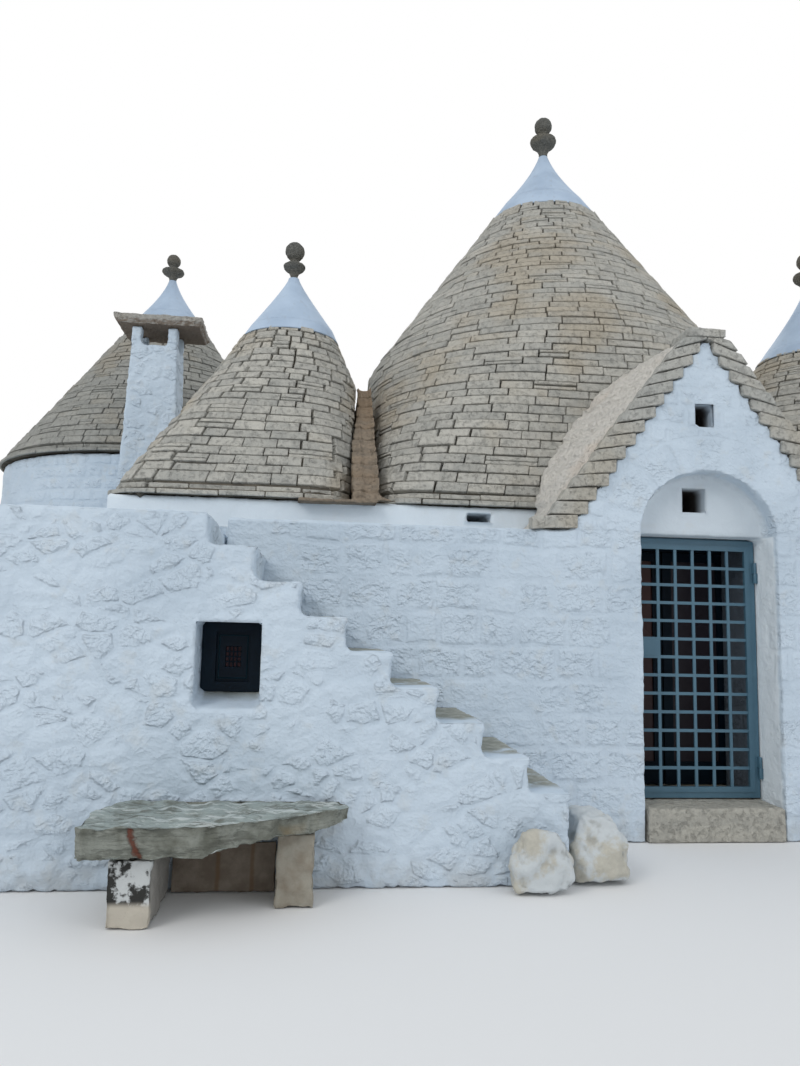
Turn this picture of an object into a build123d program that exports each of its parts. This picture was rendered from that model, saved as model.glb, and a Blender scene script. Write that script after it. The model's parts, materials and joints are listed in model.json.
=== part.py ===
"""Trullo house: whitewashed rubble walls, four dry-stone cones with plaster caps and stone
finials, a gabled doorway with a swinging grille gate, an outside stair, a chimney and a
stone bench.

Millimetres. The origin is at ground level under the middle of the doorway, on the outer
face of the entrance wall. X runs right along the facade, Y runs into the house, Z is up.
Regions of the plan are written as (left, right, front, rear).
"""

import os

from build123d import *

os.makedirs("parts", exist_ok=True)

# Levels
FLOOR_Z = 250
TERRACE_Z = 2250
DECK_THICKNESS = 300
WALL_TOP_Z = 2350
EAVE_Z = 2600
BACK_EAVE_Z = 3700

# Ends of the house and the flank wall that carries the stair
LEFT_END_X = -7750
RIGHT_END_X = 4690
FLANK_FACE_Y = -1000
FLANK_BACK_Y = -400
OUTER_WALL = 650
EAVE_OVERHANG = 60

# Entrance wall and doorway
DRUM_FACE_Y = 660
DOOR_HALF = 545
EMBRASURE_STEP = 115
EMBRASURE_HALF = DOOR_HALF + EMBRASURE_STEP
EMBRASURE_Y = 900
NICHE_RISE = 490
NICHE_DEPTH = 180
THRESHOLD_LIP = 20
THRESHOLD_DEPTH = 330
THRESHOLD_PROUD = 5

# Stair against the entrance wall
STEP_COUNT = 8
STEP_RISE = 212
STEP_GOING = 290
FIRST_GOING = 261
STAIR_FOOT_X = -1466
FIRST_TREAD_Z = 560
TREAD_THICKNESS = 50
TREAD_NOSING = 12

# Rooms
MAIN_ROOM = (-1745, 775, 1450, 5350)
SMALL_ROOM = (-4500, -3150, 1100, 3100)
BACK_ROOM = (-7100, -3900, 4900, 8100)
END_ROOM = (2350, 4090, 1850, 4840)
ALCOVE_RIGHT_X = -3380
ALCOVE_TOP_Z = 1700
LINK_REAR_Y = 4250
END_WALL_STEP_Y = 1260

# Arched openings between the rooms
ARCH_WIDTH = 900
ARCH_SPRING_Z = 1400
SMALL_ARCH_Y = 2050
END_ARCH_Y = 3450
ALCOVE_ARCH_X = -4030
BACK_ARCH_X = -5950

# Small window in the flank wall
WINDOW_X = (-3800, -3405)
WINDOW_Z = (1125, 1565)
WINDOW_SILL_DROP = 80
WINDOW_FRAME_Y = (-680, -620)
WINDOW_FRAME_BORDER = (90, 62)
WINDOW_PANEL_DEPTH = 24
WINDOW_GRILLE = (98, 130)
WINDOW_GRILLE_CELLS = 4
WINDOW_GRILLE_BAR = 8
WINDOW_PULL = (17, 7, 10)

# Roof cones: eave rectangle, then round rings as (centre, radius, z)
EAVE_CORNER = 350
ROOM_CORNER = 250
ROUND_FLAT = 20
CLEARANCE = 0.5
MAIN_EAVE = (-2595, 1625, 600, 6200)
MAIN_RINGS = (((-375, 3400), 2170, 4500), ((-375, 3400), 510, 6870))
MAIN_DOME = (((-375, 3400), 1300, 4500), ((-375, 3400), 150, 6300))
SMALL_EAVE = (-4865, -2785, 600, 3600)
SMALL_RINGS = (((-3470, 2100), 740, 4000), ((-3420, 2100), 430, 4570))
SMALL_DOME = (((-3640, 2100), 420, 3700), ((-3560, 2100), 120, 4150))
END_EAVE = (1700, 4750, 1200, 5500)
END_RINGS = (((3155, 3400), 1350, 4000), ((3155, 3400), 540, 5200))
END_DOME = (((3155, 3400), 720, 4000), ((3155, 3400), 150, 4750))

# Round drum and cone over the back room
BACK_CENTRE = (-5500, 6500)
BACK_EAVE_RADIUS = 2250
BACK_INNER_RADIUS = 1500
BACK_CROWN = (420, 6320)
BACK_DOME_TOP = (150, 5600)

# Plaster caps: centre, crown radius, crown z, neck z, and the flare's pull on the radius
# and the height, as shares
CAPS = (
    ((-375, 3400), 510, 6870, 7580, (0.30, 0.60)),
    ((-3420, 2100), 430, 4570, 5150, (0.14, 0.88)),
    ((-5500, 6500), 420, 6320, 6940, (0.30, 0.60)),
    ((3155, 3400), 540, 5200, 6010, (0.25, 0.70)),
)
NECK_RADIUS = 55

# Stone finials on the caps: bowl radius, ball z and ball radius
FINIALS = ((170, 8000, 115), (120, 5450, 104), (178, 7270, 110), (165, 6440, 116))
BOWL_FOOT_RADIUS = 60
BOWL_RIM_SHARE = 0.62
BOWL_RIM = 38
SHANK_RADIUS = 32

# Gable over the doorway
GABLE_HALF = 1400
RIDGE_HALF = 192
RIDGE_Z = 3950
VERGE_WIDTH = 255
VERGE_SLABS = 15
VERGE_PROUD = 30
VERGE_DEPTH = 300
VERGE_TILT = 0.36
VERGE_TIP = 90
RIDGE_SLAB = (165, 80, 40)
LUNETTE_VENT = (-142, 59, 2542, 2741)
GABLE_VENT = (-105, 50, 3210, 3400)
BAND_VENT = (-1830, -1620, 2465, 2540)
VENT_REACH_Y = 2300

# Valley gutter between the small and the main cone
GUTTER_SPAN_X = (-2810, -2400)
GUTTER_PEAK = (2100, 4040)
GUTTER_CHANNEL_X = (-2715, -2600)
GUTTER_CHANNEL_DEPTH = 35
GUTTER_LIP = 65
OUTLET = (-3260, -2600, 520, 660)
OUTLET_THICKNESS = 55

# Chimney, in front of the back drum
CHIMNEY_STANDOFF = 340
CHIMNEY_CENTRE = (-5130, BACK_CENTRE[1] - BACK_EAVE_RADIUS - CHIMNEY_STANDOFF)
CHIMNEY_FOOT = (760, 500)
CHIMNEY_HEAD = (556, 500)
CHIMNEY_SHAFT_Z = 4905
CHIMNEY_WALL = 110
CHIMNEY_POST = 130
CHIMNEY_POST_HEIGHT = 225
CHIMNEY_SLAB_SHIFT = (45, 35)
CHIMNEY_SLAB = (1060, 770, 130)
CHIMNEY_SLAB_BEVEL = 90

# Bench in front of the flank wall
BENCH_X = (-4270, -2835)
BENCH_FRONT_Y = -1700
BENCH_TIP_Y = -1300
BENCH_CORNER = 110
BENCH_TOP_Z = 530
BENCH_UNDER_Z = 345
BENCH_BREAK_X = (-3620, -3300)
BENCH_BREAK_Z = 400
BENCH_TIP_Z = 435
BENCH_LEFT_LEG = (-4100, -3870, -1600, -1000)
BENCH_RIGHT_LEG = (-3260, -3040, -1320, -1000)
BENCH_PANEL_HEIGHT = 290
BENCH_PANEL_THICKNESS = 40

# Boulders at the stair's foot: centre, size and height
BOULDERS = (((-1680, -1090), (430, 240), 395), ((-1255, -760), (440, 560), 420))
BOULDER_SHAPE = ((0, 1.0), (0.55, 1.0), (1, 0.6))
BOULDER_CORNER_SHARE = 0.33

# Gate: a grille leaf on barrel hinges, with a fixed stop frame behind it
LEAF_GAP = 10
LEAF_HALF = DOOR_HALF - LEAF_GAP
LEAF_Z = (262, 2335)
FLANGE_Y = (316, 324)
FLANGE_WIDTH = 45
STILE_Y = (308, 338)
STILE_WIDTH = 42
GRID_COLUMNS = 6
GRID_ROWS = 13
BAR_WIDTH = 24
BAR_Y = (314, 328)
LOCK_ROW = 7
LOCK_Y = (310, 338)
STOP_FRAME_WIDTH = 40
STOP_FRAME_Y = (346, 386)
HINGE_INSET = 19
HINGE_AXIS = (DOOR_HALF - HINGE_INSET, 288)
HINGE_HEIGHTS = (500, 2070)
HINGE_RADIUS = 13
HINGE_HALF_LENGTH = 85
HINGE_LIFT = 3
HINGE_PIN = (7, 70)
HINGE_PLAY = 0.08
HINGE_STRAP = 14

# Glazed pair of doors at the back of the doorway
JAMB_WIDTH = 60
JAMB_Y = (900, 960)
DOOR_FRAME_HALF = EMBRASURE_HALF - JAMB_WIDTH
DOOR_EDGE_GAP = 8
DOOR_X = (6, DOOR_FRAME_HALF - DOOR_EDGE_GAP)
DOOR_Y = (911, 956)
DOOR_FOOT_Z = 258
DOOR_HEAD_GAP = 6
DOOR_STILE = 82
DOOR_BOTTOM_RAIL = 190
GLASS_THICKNESS = 8
BUTT_AXIS = (DOOR_FRAME_HALF - DOOR_EDGE_GAP / 2, 969)
BUTT_HEIGHTS = (520, 2040)
BUTT_RADIUS = 7
BUTT_HALF_LENGTH = 50
BUTT_LIFT = 2
BUTT_PIN = (3.5, 40)
BUTT_PLAY = 0.08
BUTT_FLAP = (36, 7)


def front_plane(y):
    """Upright plane facing the street, at depth y; sketches on it use X and Z."""
    return Plane.XZ.offset(-y)


def side_plane(x):
    """Upright plane facing right, at x; sketches on it use Y and Z."""
    return Plane.YZ.offset(x)


def span(x0, x1, y0, y1, mode=Mode.ADD):
    """Rectangle between two corners, in the sketch that is open."""
    with Locations(((x0 + x1) / 2, (y0 + y1) / 2)):
        Rectangle(abs(x1 - x0), y1 - y0, mode=mode)


def block(region, z0, z1, mode=Mode.ADD):
    """Upright block over a region of the plan, in the part that is open."""
    left, right, front, rear = region
    with Locations(((left + right) / 2, (front + rear) / 2, (z0 + z1) / 2)):
        Box(abs(right - left), rear - front, z1 - z0, mode=mode)


def post(centre, radius, z0, z1, mode=Mode.ADD):
    """Upright cylinder between two heights, in the part that is open."""
    with Locations((*centre, (z0 + z1) / 2)):
        Cylinder(radius, z1 - z0, mode=mode)


def arch(centre):
    """Round-headed opening from the ground up, in the upright sketch that is open."""
    half = ARCH_WIDTH / 2
    span(centre - half, centre + half, 0, ARCH_SPRING_Z)
    with Locations((centre, ARCH_SPRING_Z)):
        Circle(half)


def squared_cone(eave, corner, rings, mode=Mode.ADD, grow=0.0):
    """Loft from a rounded eave rectangle to round rings, in the part that is open."""
    left, right, front, rear = eave
    with BuildSketch(Plane.XY.offset(EAVE_Z)) as foot:
        with Locations(((left + right) / 2, (front + rear) / 2)):
            RectangleRounded(right - left + 2 * grow, rear - front + 2 * grow, corner + grow)
    sections = [foot.sketch]
    for centre, radius, z in rings:
        reach = radius + grow
        with BuildSketch(Plane.XY.offset(z)) as ring:
            with Locations(centre):
                RectangleRounded(2 * reach, 2 * reach, reach - ROUND_FLAT)
        sections.append(ring.sketch)
    loft(sections=sections, ruled=True, mode=mode)


def finish(part, name):
    """Label a finished sub-part and write it under its own name."""
    part.part.label = name
    export_step(part.part, f"parts/{name}.step")


# Wall lines that follow from the rooms and the eaves
main_left, main_right, main_front, main_rear = MAIN_ROOM
small_left, small_right, small_front, small_rear = SMALL_ROOM
back_left, back_right, back_front, back_rear = BACK_ROOM
end_left, end_right, end_front, end_rear = END_ROOM
main_outer_left = MAIN_EAVE[0] + EAVE_OVERHANG
main_outer_right = MAIN_EAVE[1] - EAVE_OVERHANG
main_outer_rear = MAIN_EAVE[3] - EAVE_OVERHANG
small_outer_left = SMALL_EAVE[0] + EAVE_OVERHANG
small_outer_rear = SMALL_EAVE[3] - EAVE_OVERHANG
end_outer_rear = END_EAVE[3] - EAVE_OVERHANG
back_outer_right = back_right + OUTER_WALL
back_outer_rear = back_rear + OUTER_WALL
deck_bottom_z = TERRACE_Z - DECK_THICKNESS
stair_head_x = STAIR_FOOT_X - FIRST_GOING - (STEP_COUNT - 1) * STEP_GOING


def tread(step):
    """Left edge, right edge and top of a tread, counted from the foot."""
    left = STAIR_FOOT_X - FIRST_GOING - step * STEP_GOING
    right = left + STEP_GOING if step else STAIR_FOOT_X
    return left, right, FIRST_TREAD_Z + step * STEP_RISE


def stepped_profile(left_edge):
    """Face under the treads, from the ground up, in the upright sketch that is open."""
    span(left_edge, stair_head_x, 0, TERRACE_Z)
    for step in range(STEP_COUNT):
        left, right, top = tread(step)
        span(left, right, 0, top - TREAD_THICKNESS)


# Flank wall and stair
with BuildPart() as flank_wall:
    with BuildSketch(front_plane(FLANK_FACE_Y)):
        stepped_profile(LEFT_END_X)
        span(*WINDOW_X, *WINDOW_Z, mode=Mode.SUBTRACT)
    extrude(amount=FLANK_FACE_Y - FLANK_BACK_Y)
    with BuildSketch(side_plane(WINDOW_X[0])):
        Polygon(
            (FLANK_FACE_Y, WINDOW_Z[0] - WINDOW_SILL_DROP),
            (WINDOW_FRAME_Y[0], WINDOW_Z[0]),
            (FLANK_FACE_Y, WINDOW_Z[0]),
            align=None,
        )
    extrude(amount=WINDOW_X[1] - WINDOW_X[0], mode=Mode.SUBTRACT)
finish(flank_wall, "flank_wall")

with BuildPart() as stair_core:
    for step in range(STEP_COUNT):
        left, right, top = tread(step)
        block((left, right, FLANK_BACK_Y, 0), 0, top - TREAD_THICKNESS)
    alcove = (stair_head_x, ALCOVE_RIGHT_X, FLANK_BACK_Y, 0)
    block(alcove, 0, ALCOVE_TOP_Z, mode=Mode.SUBTRACT)
finish(stair_core, "stair_core")

with BuildPart() as stair_treads:
    for step in range(STEP_COUNT):
        left, right, top = tread(step)
        block((left, right + TREAD_NOSING, FLANK_FACE_Y, 0), top - TREAD_THICKNESS, top)
finish(stair_treads, "stair_treads")

with BuildPart() as stair_boulders:
    for centre, size, height in BOULDERS:
        for level, share in BOULDER_SHAPE:
            with BuildSketch(Plane.XY.offset(level * height)):
                with Locations(centre):
                    width, depth = size[0] * share, size[1] * share
                    corner = BOULDER_CORNER_SHARE * min(width, depth)
                    RectangleRounded(width, depth, corner)
        loft(ruled=True)
    block((LEFT_END_X, STAIR_FOOT_X, FLANK_FACE_Y, 0), 0, TERRACE_Z, mode=Mode.SUBTRACT)
finish(stair_boulders, "stair_boulders")

# Entrance front
with BuildPart() as entrance_wall_left:
    block((stair_head_x, -DOOR_HALF, 0, DRUM_FACE_Y), 0, WALL_TOP_Z)
    alcove = (stair_head_x, ALCOVE_RIGHT_X, 0, DRUM_FACE_Y)
    block(alcove, 0, ALCOVE_TOP_Z, mode=Mode.SUBTRACT)
finish(entrance_wall_left, "entrance_wall_left")

with BuildPart() as entrance_wall_right:
    block((DOOR_HALF, RIGHT_END_X, 0, DRUM_FACE_Y), 0, WALL_TOP_Z)
finish(entrance_wall_right, "entrance_wall_right")

with BuildPart() as main_wall_front_left:
    block((main_outer_left, -DOOR_HALF, DRUM_FACE_Y, main_front), 0, EAVE_Z)
    block((-EMBRASURE_HALF, 0, EMBRASURE_Y, main_front), 0, EAVE_Z, mode=Mode.SUBTRACT)
    left, right, bottom, top = BAND_VENT
    block((left, right, 0, main_front), bottom, top, mode=Mode.SUBTRACT)
finish(main_wall_front_left, "main_wall_front_left")

with BuildPart() as main_wall_front_right:
    block((DOOR_HALF, main_outer_right, DRUM_FACE_Y, main_front), 0, EAVE_Z)
    block((0, EMBRASURE_HALF, EMBRASURE_Y, main_front), 0, EAVE_Z, mode=Mode.SUBTRACT)
finish(main_wall_front_right, "main_wall_front_right")

with BuildPart() as door_lintel:
    block((-DOOR_HALF, DOOR_HALF, DRUM_FACE_Y, EMBRASURE_Y), WALL_TOP_Z, EAVE_Z)
    block((-EMBRASURE_HALF, EMBRASURE_HALF, EMBRASURE_Y, main_front), WALL_TOP_Z, EAVE_Z)
    left, right, bottom, top = LUNETTE_VENT
    block((left, right, 0, VENT_REACH_Y), bottom, top, mode=Mode.SUBTRACT)
finish(door_lintel, "door_lintel")

# Main room; its side walls are shared with the rooms beside it
with BuildPart() as main_wall_left:
    block((main_outer_left, main_left, main_front, main_rear), 0, EAVE_Z)
    with BuildSketch(side_plane(main_outer_left)):
        arch(SMALL_ARCH_Y)
    extrude(amount=main_left - main_outer_left, mode=Mode.SUBTRACT)
finish(main_wall_left, "main_wall_left")

with BuildPart() as main_wall_right:
    block((main_right, main_outer_right, main_front, main_rear), 0, EAVE_Z)
    block((main_outer_right, end_left, end_front, end_outer_rear), 0, EAVE_Z)
    with BuildSketch(side_plane(main_right)):
        arch(END_ARCH_Y)
    extrude(amount=end_left - main_right, mode=Mode.SUBTRACT)
finish(main_wall_right, "main_wall_right")

with BuildPart() as main_wall_rear:
    block((main_outer_left, main_outer_right, main_rear, main_outer_rear), 0, EAVE_Z)
finish(main_wall_rear, "main_wall_rear")

# Small room
with BuildPart() as small_wall_front:
    block((small_outer_left, main_outer_left, DRUM_FACE_Y, small_front), 0, EAVE_Z)
    with BuildSketch(front_plane(DRUM_FACE_Y)):
        arch(ALCOVE_ARCH_X)
    extrude(amount=DRUM_FACE_Y - small_front, mode=Mode.SUBTRACT)
finish(small_wall_front, "small_wall_front")

with BuildPart() as small_wall_left:
    block((small_outer_left, small_left, small_front, small_rear), 0, EAVE_Z)
    with BuildSketch(side_plane(small_outer_left)):
        arch(SMALL_ARCH_Y)
    extrude(amount=small_left - small_outer_left, mode=Mode.SUBTRACT)
finish(small_wall_left, "small_wall_left")

with BuildPart() as small_wall_rear:
    block((small_outer_left, main_outer_left, small_rear, small_outer_rear), 0, EAVE_Z)
    block((small_outer_left, main_outer_left, small_outer_rear, LINK_REAR_Y), 0, TERRACE_Z)
finish(small_wall_rear, "small_wall_rear")

with BuildPart() as small_wall_right:
    block((small_right, main_outer_left, small_front, small_rear), 0, EAVE_Z)
    with BuildSketch(side_plane(small_right)):
        arch(SMALL_ARCH_Y)
    extrude(amount=main_outer_left - small_right, mode=Mode.SUBTRACT)
finish(small_wall_right, "small_wall_right")

# Room under the terrace, and back room
with BuildPart() as left_wall:
    block((LEFT_END_X, back_left, FLANK_BACK_Y, back_outer_rear), 0, TERRACE_Z)
finish(left_wall, "left_wall")

with BuildPart() as terrace_deck:
    block((back_left, stair_head_x, FLANK_BACK_Y, DRUM_FACE_Y), deck_bottom_z, TERRACE_Z)
    block((back_left, small_outer_left, DRUM_FACE_Y, LINK_REAR_Y), deck_bottom_z, TERRACE_Z)
    with BuildSketch(Plane.XY.offset(TERRACE_Z)):
        with Locations(CHIMNEY_CENTRE):
            Rectangle(CHIMNEY_FOOT[0] - 2 * CHIMNEY_WALL, CHIMNEY_FOOT[1] - 2 * CHIMNEY_WALL)
    extrude(amount=-DECK_THICKNESS, mode=Mode.SUBTRACT)
finish(terrace_deck, "terrace_deck")

with BuildPart() as back_wall_front:
    block((back_left, back_outer_right, LINK_REAR_Y, back_front), 0, TERRACE_Z)
    with BuildSketch(front_plane(LINK_REAR_Y)):
        arch(BACK_ARCH_X)
    extrude(amount=LINK_REAR_Y - back_front, mode=Mode.SUBTRACT)
finish(back_wall_front, "back_wall_front")

with BuildPart() as back_wall_right:
    block((back_right, back_outer_right, back_front, back_outer_rear), 0, TERRACE_Z)
finish(back_wall_right, "back_wall_right")

with BuildPart() as back_wall_rear:
    block((back_left, back_right, back_rear, back_outer_rear), 0, TERRACE_Z)
finish(back_wall_rear, "back_wall_rear")

with BuildPart() as back_drum:
    block(BACK_ROOM, deck_bottom_z, TERRACE_Z)
    post(BACK_CENTRE, BACK_EAVE_RADIUS - EAVE_OVERHANG, TERRACE_Z, BACK_EAVE_Z)
    post(BACK_CENTRE, BACK_INNER_RADIUS, deck_bottom_z, BACK_EAVE_Z, mode=Mode.SUBTRACT)
finish(back_drum, "back_drum")

# End room
with BuildPart() as end_wall_front:
    block((main_outer_right, RIGHT_END_X, DRUM_FACE_Y, end_front), 0, EAVE_Z)
    low_strip = (main_outer_right, RIGHT_END_X, DRUM_FACE_Y, END_WALL_STEP_Y)
    block(low_strip, WALL_TOP_Z, EAVE_Z, mode=Mode.SUBTRACT)
finish(end_wall_front, "end_wall_front")

with BuildPart() as end_wall_right:
    block((end_right, RIGHT_END_X, end_front, end_outer_rear), 0, EAVE_Z)
finish(end_wall_right, "end_wall_right")

with BuildPart() as end_wall_rear:
    block((end_left, end_right, end_rear, end_outer_rear), 0, EAVE_Z)
finish(end_wall_rear, "end_wall_rear")

# Floor and threshold
arch_half = ARCH_WIDTH / 2
with BuildPart() as floor:
    with BuildSketch():
        for room in (MAIN_ROOM, SMALL_ROOM, BACK_ROOM, END_ROOM):
            span(*room)
        span(back_left, ALCOVE_RIGHT_X, FLANK_BACK_Y, DRUM_FACE_Y)
        span(back_left, small_outer_left, DRUM_FACE_Y, LINK_REAR_Y)
        span(BACK_ARCH_X - arch_half, BACK_ARCH_X + arch_half, LINK_REAR_Y, back_front)
        span(ALCOVE_ARCH_X - arch_half, ALCOVE_ARCH_X + arch_half, DRUM_FACE_Y, small_front)
        span(small_outer_left, main_left, SMALL_ARCH_Y - arch_half, SMALL_ARCH_Y + arch_half)
        span(main_right, end_left, END_ARCH_Y - arch_half, END_ARCH_Y + arch_half)
        span(-DOOR_HALF, DOOR_HALF, THRESHOLD_DEPTH, EMBRASURE_Y)
        span(-EMBRASURE_HALF, EMBRASURE_HALF, EMBRASURE_Y, main_front)
    extrude(amount=FLOOR_Z)
finish(floor, "floor")

with BuildPart() as threshold:
    region = (-DOOR_HALF, DOOR_HALF, -THRESHOLD_LIP, THRESHOLD_DEPTH)
    block(region, 0, FLOOR_Z + THRESHOLD_PROUD)
    lip = threshold.edges().filter_by(Axis.X).group_by(Axis.Z)[-1].sort_by(Axis.Y)[0]
    fillet(lip, THRESHOLD_LIP)
finish(threshold, "threshold")


# Roof cones
def roof(eave, rings, room, dome, vents=()):
    """Hollow stone cone over a room, with small vents cut through its front."""
    with BuildPart() as shell:
        squared_cone(eave, EAVE_CORNER, rings)
        squared_cone(room, ROOM_CORNER, dome, mode=Mode.SUBTRACT)
        for left, right, bottom, top in vents:
            region = (left, right, 0, VENT_REACH_Y)
            block(region, max(bottom, EAVE_Z), top, mode=Mode.SUBTRACT)
    return shell


main_vents = (LUNETTE_VENT, GABLE_VENT)
finish(roof(MAIN_EAVE, MAIN_RINGS, MAIN_ROOM, MAIN_DOME, main_vents), "roof_main")
finish(roof(SMALL_EAVE, SMALL_RINGS, SMALL_ROOM, SMALL_DOME), "roof_small")
finish(roof(END_EAVE, END_RINGS, END_ROOM, END_DOME), "roof_end")


def turning_plane(centre):
    """Upright plane through a cone's centre, with its X axis as the radius."""
    return Plane(origin=(*centre, 0), x_dir=(1, 0, 0), z_dir=(0, -1, 0))


with BuildPart() as roof_back:
    with BuildSketch(turning_plane(BACK_CENTRE)):
        Polygon(
            (BACK_INNER_RADIUS, BACK_EAVE_Z),
            (BACK_EAVE_RADIUS, BACK_EAVE_Z),
            BACK_CROWN,
            (0, BACK_CROWN[1]),
            (0, BACK_DOME_TOP[1]),
            BACK_DOME_TOP,
            align=None,
        )
    revolve(axis=Axis((*BACK_CENTRE, 0), (0, 0, 1)))
finish(roof_back, "roof_back")

with BuildPart() as roof_caps:
    for centre, radius, crown_z, neck_z, (radius_pull, height_pull) in CAPS:
        with BuildSketch(turning_plane(centre)):
            with BuildLine():
                rim = Line((0, crown_z), (radius, crown_z))
                waist = (radius * radius_pull, crown_z + (neck_z - crown_z) * height_pull)
                flare = Bezier(rim @ 1, waist, (NECK_RADIUS, neck_z))
                Polyline(flare @ 1, (0, neck_z), rim @ 0)
            make_face()
        revolve(axis=Axis((*centre, 0), (0, 0, 1)))
finish(roof_caps, "roof_caps")

with BuildPart() as finials:
    for (centre, _, _, neck_z, _), (bowl_radius, ball_z, ball_radius) in zip(CAPS, FINIALS):
        ball_foot_z = ball_z - ball_radius
        rim_z = neck_z + (ball_foot_z - neck_z) * BOWL_RIM_SHARE
        with BuildSketch(turning_plane(centre)):
            Polygon(
                (0, neck_z),
                (BOWL_FOOT_RADIUS, neck_z),
                (bowl_radius, rim_z),
                (bowl_radius, rim_z + BOWL_RIM),
                (SHANK_RADIUS, ball_foot_z),
                (SHANK_RADIUS, ball_z),
                (0, ball_z),
                align=None,
            )
        revolve(axis=Axis((*centre, 0), (0, 0, 1)))
        with Locations((*centre, ball_z)):
            Sphere(ball_radius)
finish(finials, "finials")

# Gable over the doorway
gable_slope = (RIDGE_Z - WALL_TOP_Z) / (GABLE_HALF - RIDGE_HALF)
inner_foot = GABLE_HALF - VERGE_WIDTH
inner_apex_z = WALL_TOP_Z + inner_foot * gable_slope
course = (RIDGE_Z - WALL_TOP_Z) / VERGE_SLABS
above_ridge = 2 * RIDGE_Z


def bed_z(index, x):
    """Height of a bed joint of the verge at x; the beds tilt outwards more towards the top."""
    outer = GABLE_HALF - index * course / gable_slope
    tilt = VERGE_TILT * index / VERGE_SLABS
    return WALL_TOP_Z + index * course + (outer - x) * tilt


def cut_by_roof():
    """Takes the main cone and the drum below it out of the part that is open."""
    squared_cone(MAIN_EAVE, EAVE_CORNER, MAIN_RINGS, mode=Mode.SUBTRACT, grow=CLEARANCE)
    drum = (-GABLE_HALF, GABLE_HALF, DRUM_FACE_Y, main_front)
    block(drum, WALL_TOP_Z, EAVE_Z, mode=Mode.SUBTRACT)


with BuildPart() as verge_slabs:
    with BuildSketch(front_plane(-VERGE_PROUD)):
        for index in range(VERGE_SLABS):
            outer = GABLE_HALF - (index + 0.5) * course / gable_slope
            inner = max(outer - VERGE_WIDTH, 0)
            tip = outer if index else outer + VERGE_TIP
            Polygon(
                (inner, bed_z(index, inner)),
                (tip, bed_z(index, tip)),
                (tip, bed_z(index + 1, tip)),
                (inner, bed_z(index + 1, inner)),
                align=None,
            )
        span(0, GABLE_HALF, RIDGE_Z, above_ridge, mode=Mode.SUBTRACT)
    extrude(amount=-(VERGE_PROUD + VERGE_DEPTH))
    mirror(about=Plane.YZ)
finish(verge_slabs, "verge_slabs")

with BuildPart() as ridge_slab:
    half, thickness, proud = RIDGE_SLAB
    block((-half, half, -proud, VERGE_DEPTH), RIDGE_Z, RIDGE_Z + thickness)
finish(ridge_slab, "ridge_slab")

with BuildPart() as gable_wall:
    with BuildSketch(front_plane(0)):
        half = GABLE_HALF - VERGE_WIDTH / 2
        apex = (0, WALL_TOP_Z + half * gable_slope)
        Polygon((-half, WALL_TOP_Z), (half, WALL_TOP_Z), apex, align=None)
        span(-half, half, RIDGE_Z, above_ridge, mode=Mode.SUBTRACT)
    extrude(amount=-VERGE_DEPTH)
    add(verge_slabs.part, mode=Mode.SUBTRACT)
    with BuildSketch(front_plane(VERGE_DEPTH)):
        foot = (inner_foot, WALL_TOP_Z)
        Polygon((-inner_foot, WALL_TOP_Z), foot, (0, inner_apex_z), align=None)
    extrude(amount=VERGE_DEPTH - main_front)
    cut_by_roof()
    with BuildSketch(front_plane(0)):
        with Locations((0, WALL_TOP_Z)):
            Ellipse(DOOR_HALF, NICHE_RISE)
    extrude(amount=-NICHE_DEPTH, mode=Mode.SUBTRACT)
    for left, right, bottom, top in (LUNETTE_VENT, GABLE_VENT):
        block((left, right, 0, main_front), bottom, top, mode=Mode.SUBTRACT)
finish(gable_wall, "gable_wall")

with BuildPart() as gable_roof:
    with BuildSketch(front_plane(VERGE_DEPTH)):
        Polygon(
            (inner_foot, WALL_TOP_Z),
            (GABLE_HALF, WALL_TOP_Z),
            (RIDGE_HALF, RIDGE_Z),
            (0, RIDGE_Z),
            (0, inner_apex_z),
            align=None,
        )
    extrude(amount=VERGE_DEPTH - main_front)
    mirror(about=Plane.YZ)
    cut_by_roof()
finish(gable_roof, "gable_roof")

# Valley gutter
with BuildPart() as gutter:
    peak_y, peak_z = GUTTER_PEAK
    front, rear = SMALL_EAVE[2:]
    with BuildSketch(side_plane(GUTTER_SPAN_X[0])):
        lip_z = EAVE_Z + GUTTER_LIP
        Polygon(
            (front, EAVE_Z),
            (rear, EAVE_Z),
            (rear, lip_z),
            (peak_y, peak_z),
            (front, lip_z),
            align=None,
        )
    extrude(amount=GUTTER_SPAN_X[1] - GUTTER_SPAN_X[0])
    with BuildSketch(side_plane(GUTTER_CHANNEL_X[0])):
        Polygon(
            (front, lip_z - GUTTER_CHANNEL_DEPTH),
            (peak_y, peak_z - GUTTER_CHANNEL_DEPTH),
            (rear, lip_z - GUTTER_CHANNEL_DEPTH),
            (rear, peak_z),
            (front, peak_z),
            align=None,
        )
    extrude(amount=GUTTER_CHANNEL_X[1] - GUTTER_CHANNEL_X[0], mode=Mode.SUBTRACT)
    for eave, rings in ((SMALL_EAVE, SMALL_RINGS), (MAIN_EAVE, MAIN_RINGS)):
        squared_cone(eave, EAVE_CORNER, rings, mode=Mode.SUBTRACT, grow=CLEARANCE)
    block(OUTLET, EAVE_Z - OUTLET_THICKNESS, EAVE_Z)
finish(gutter, "gutter")

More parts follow.
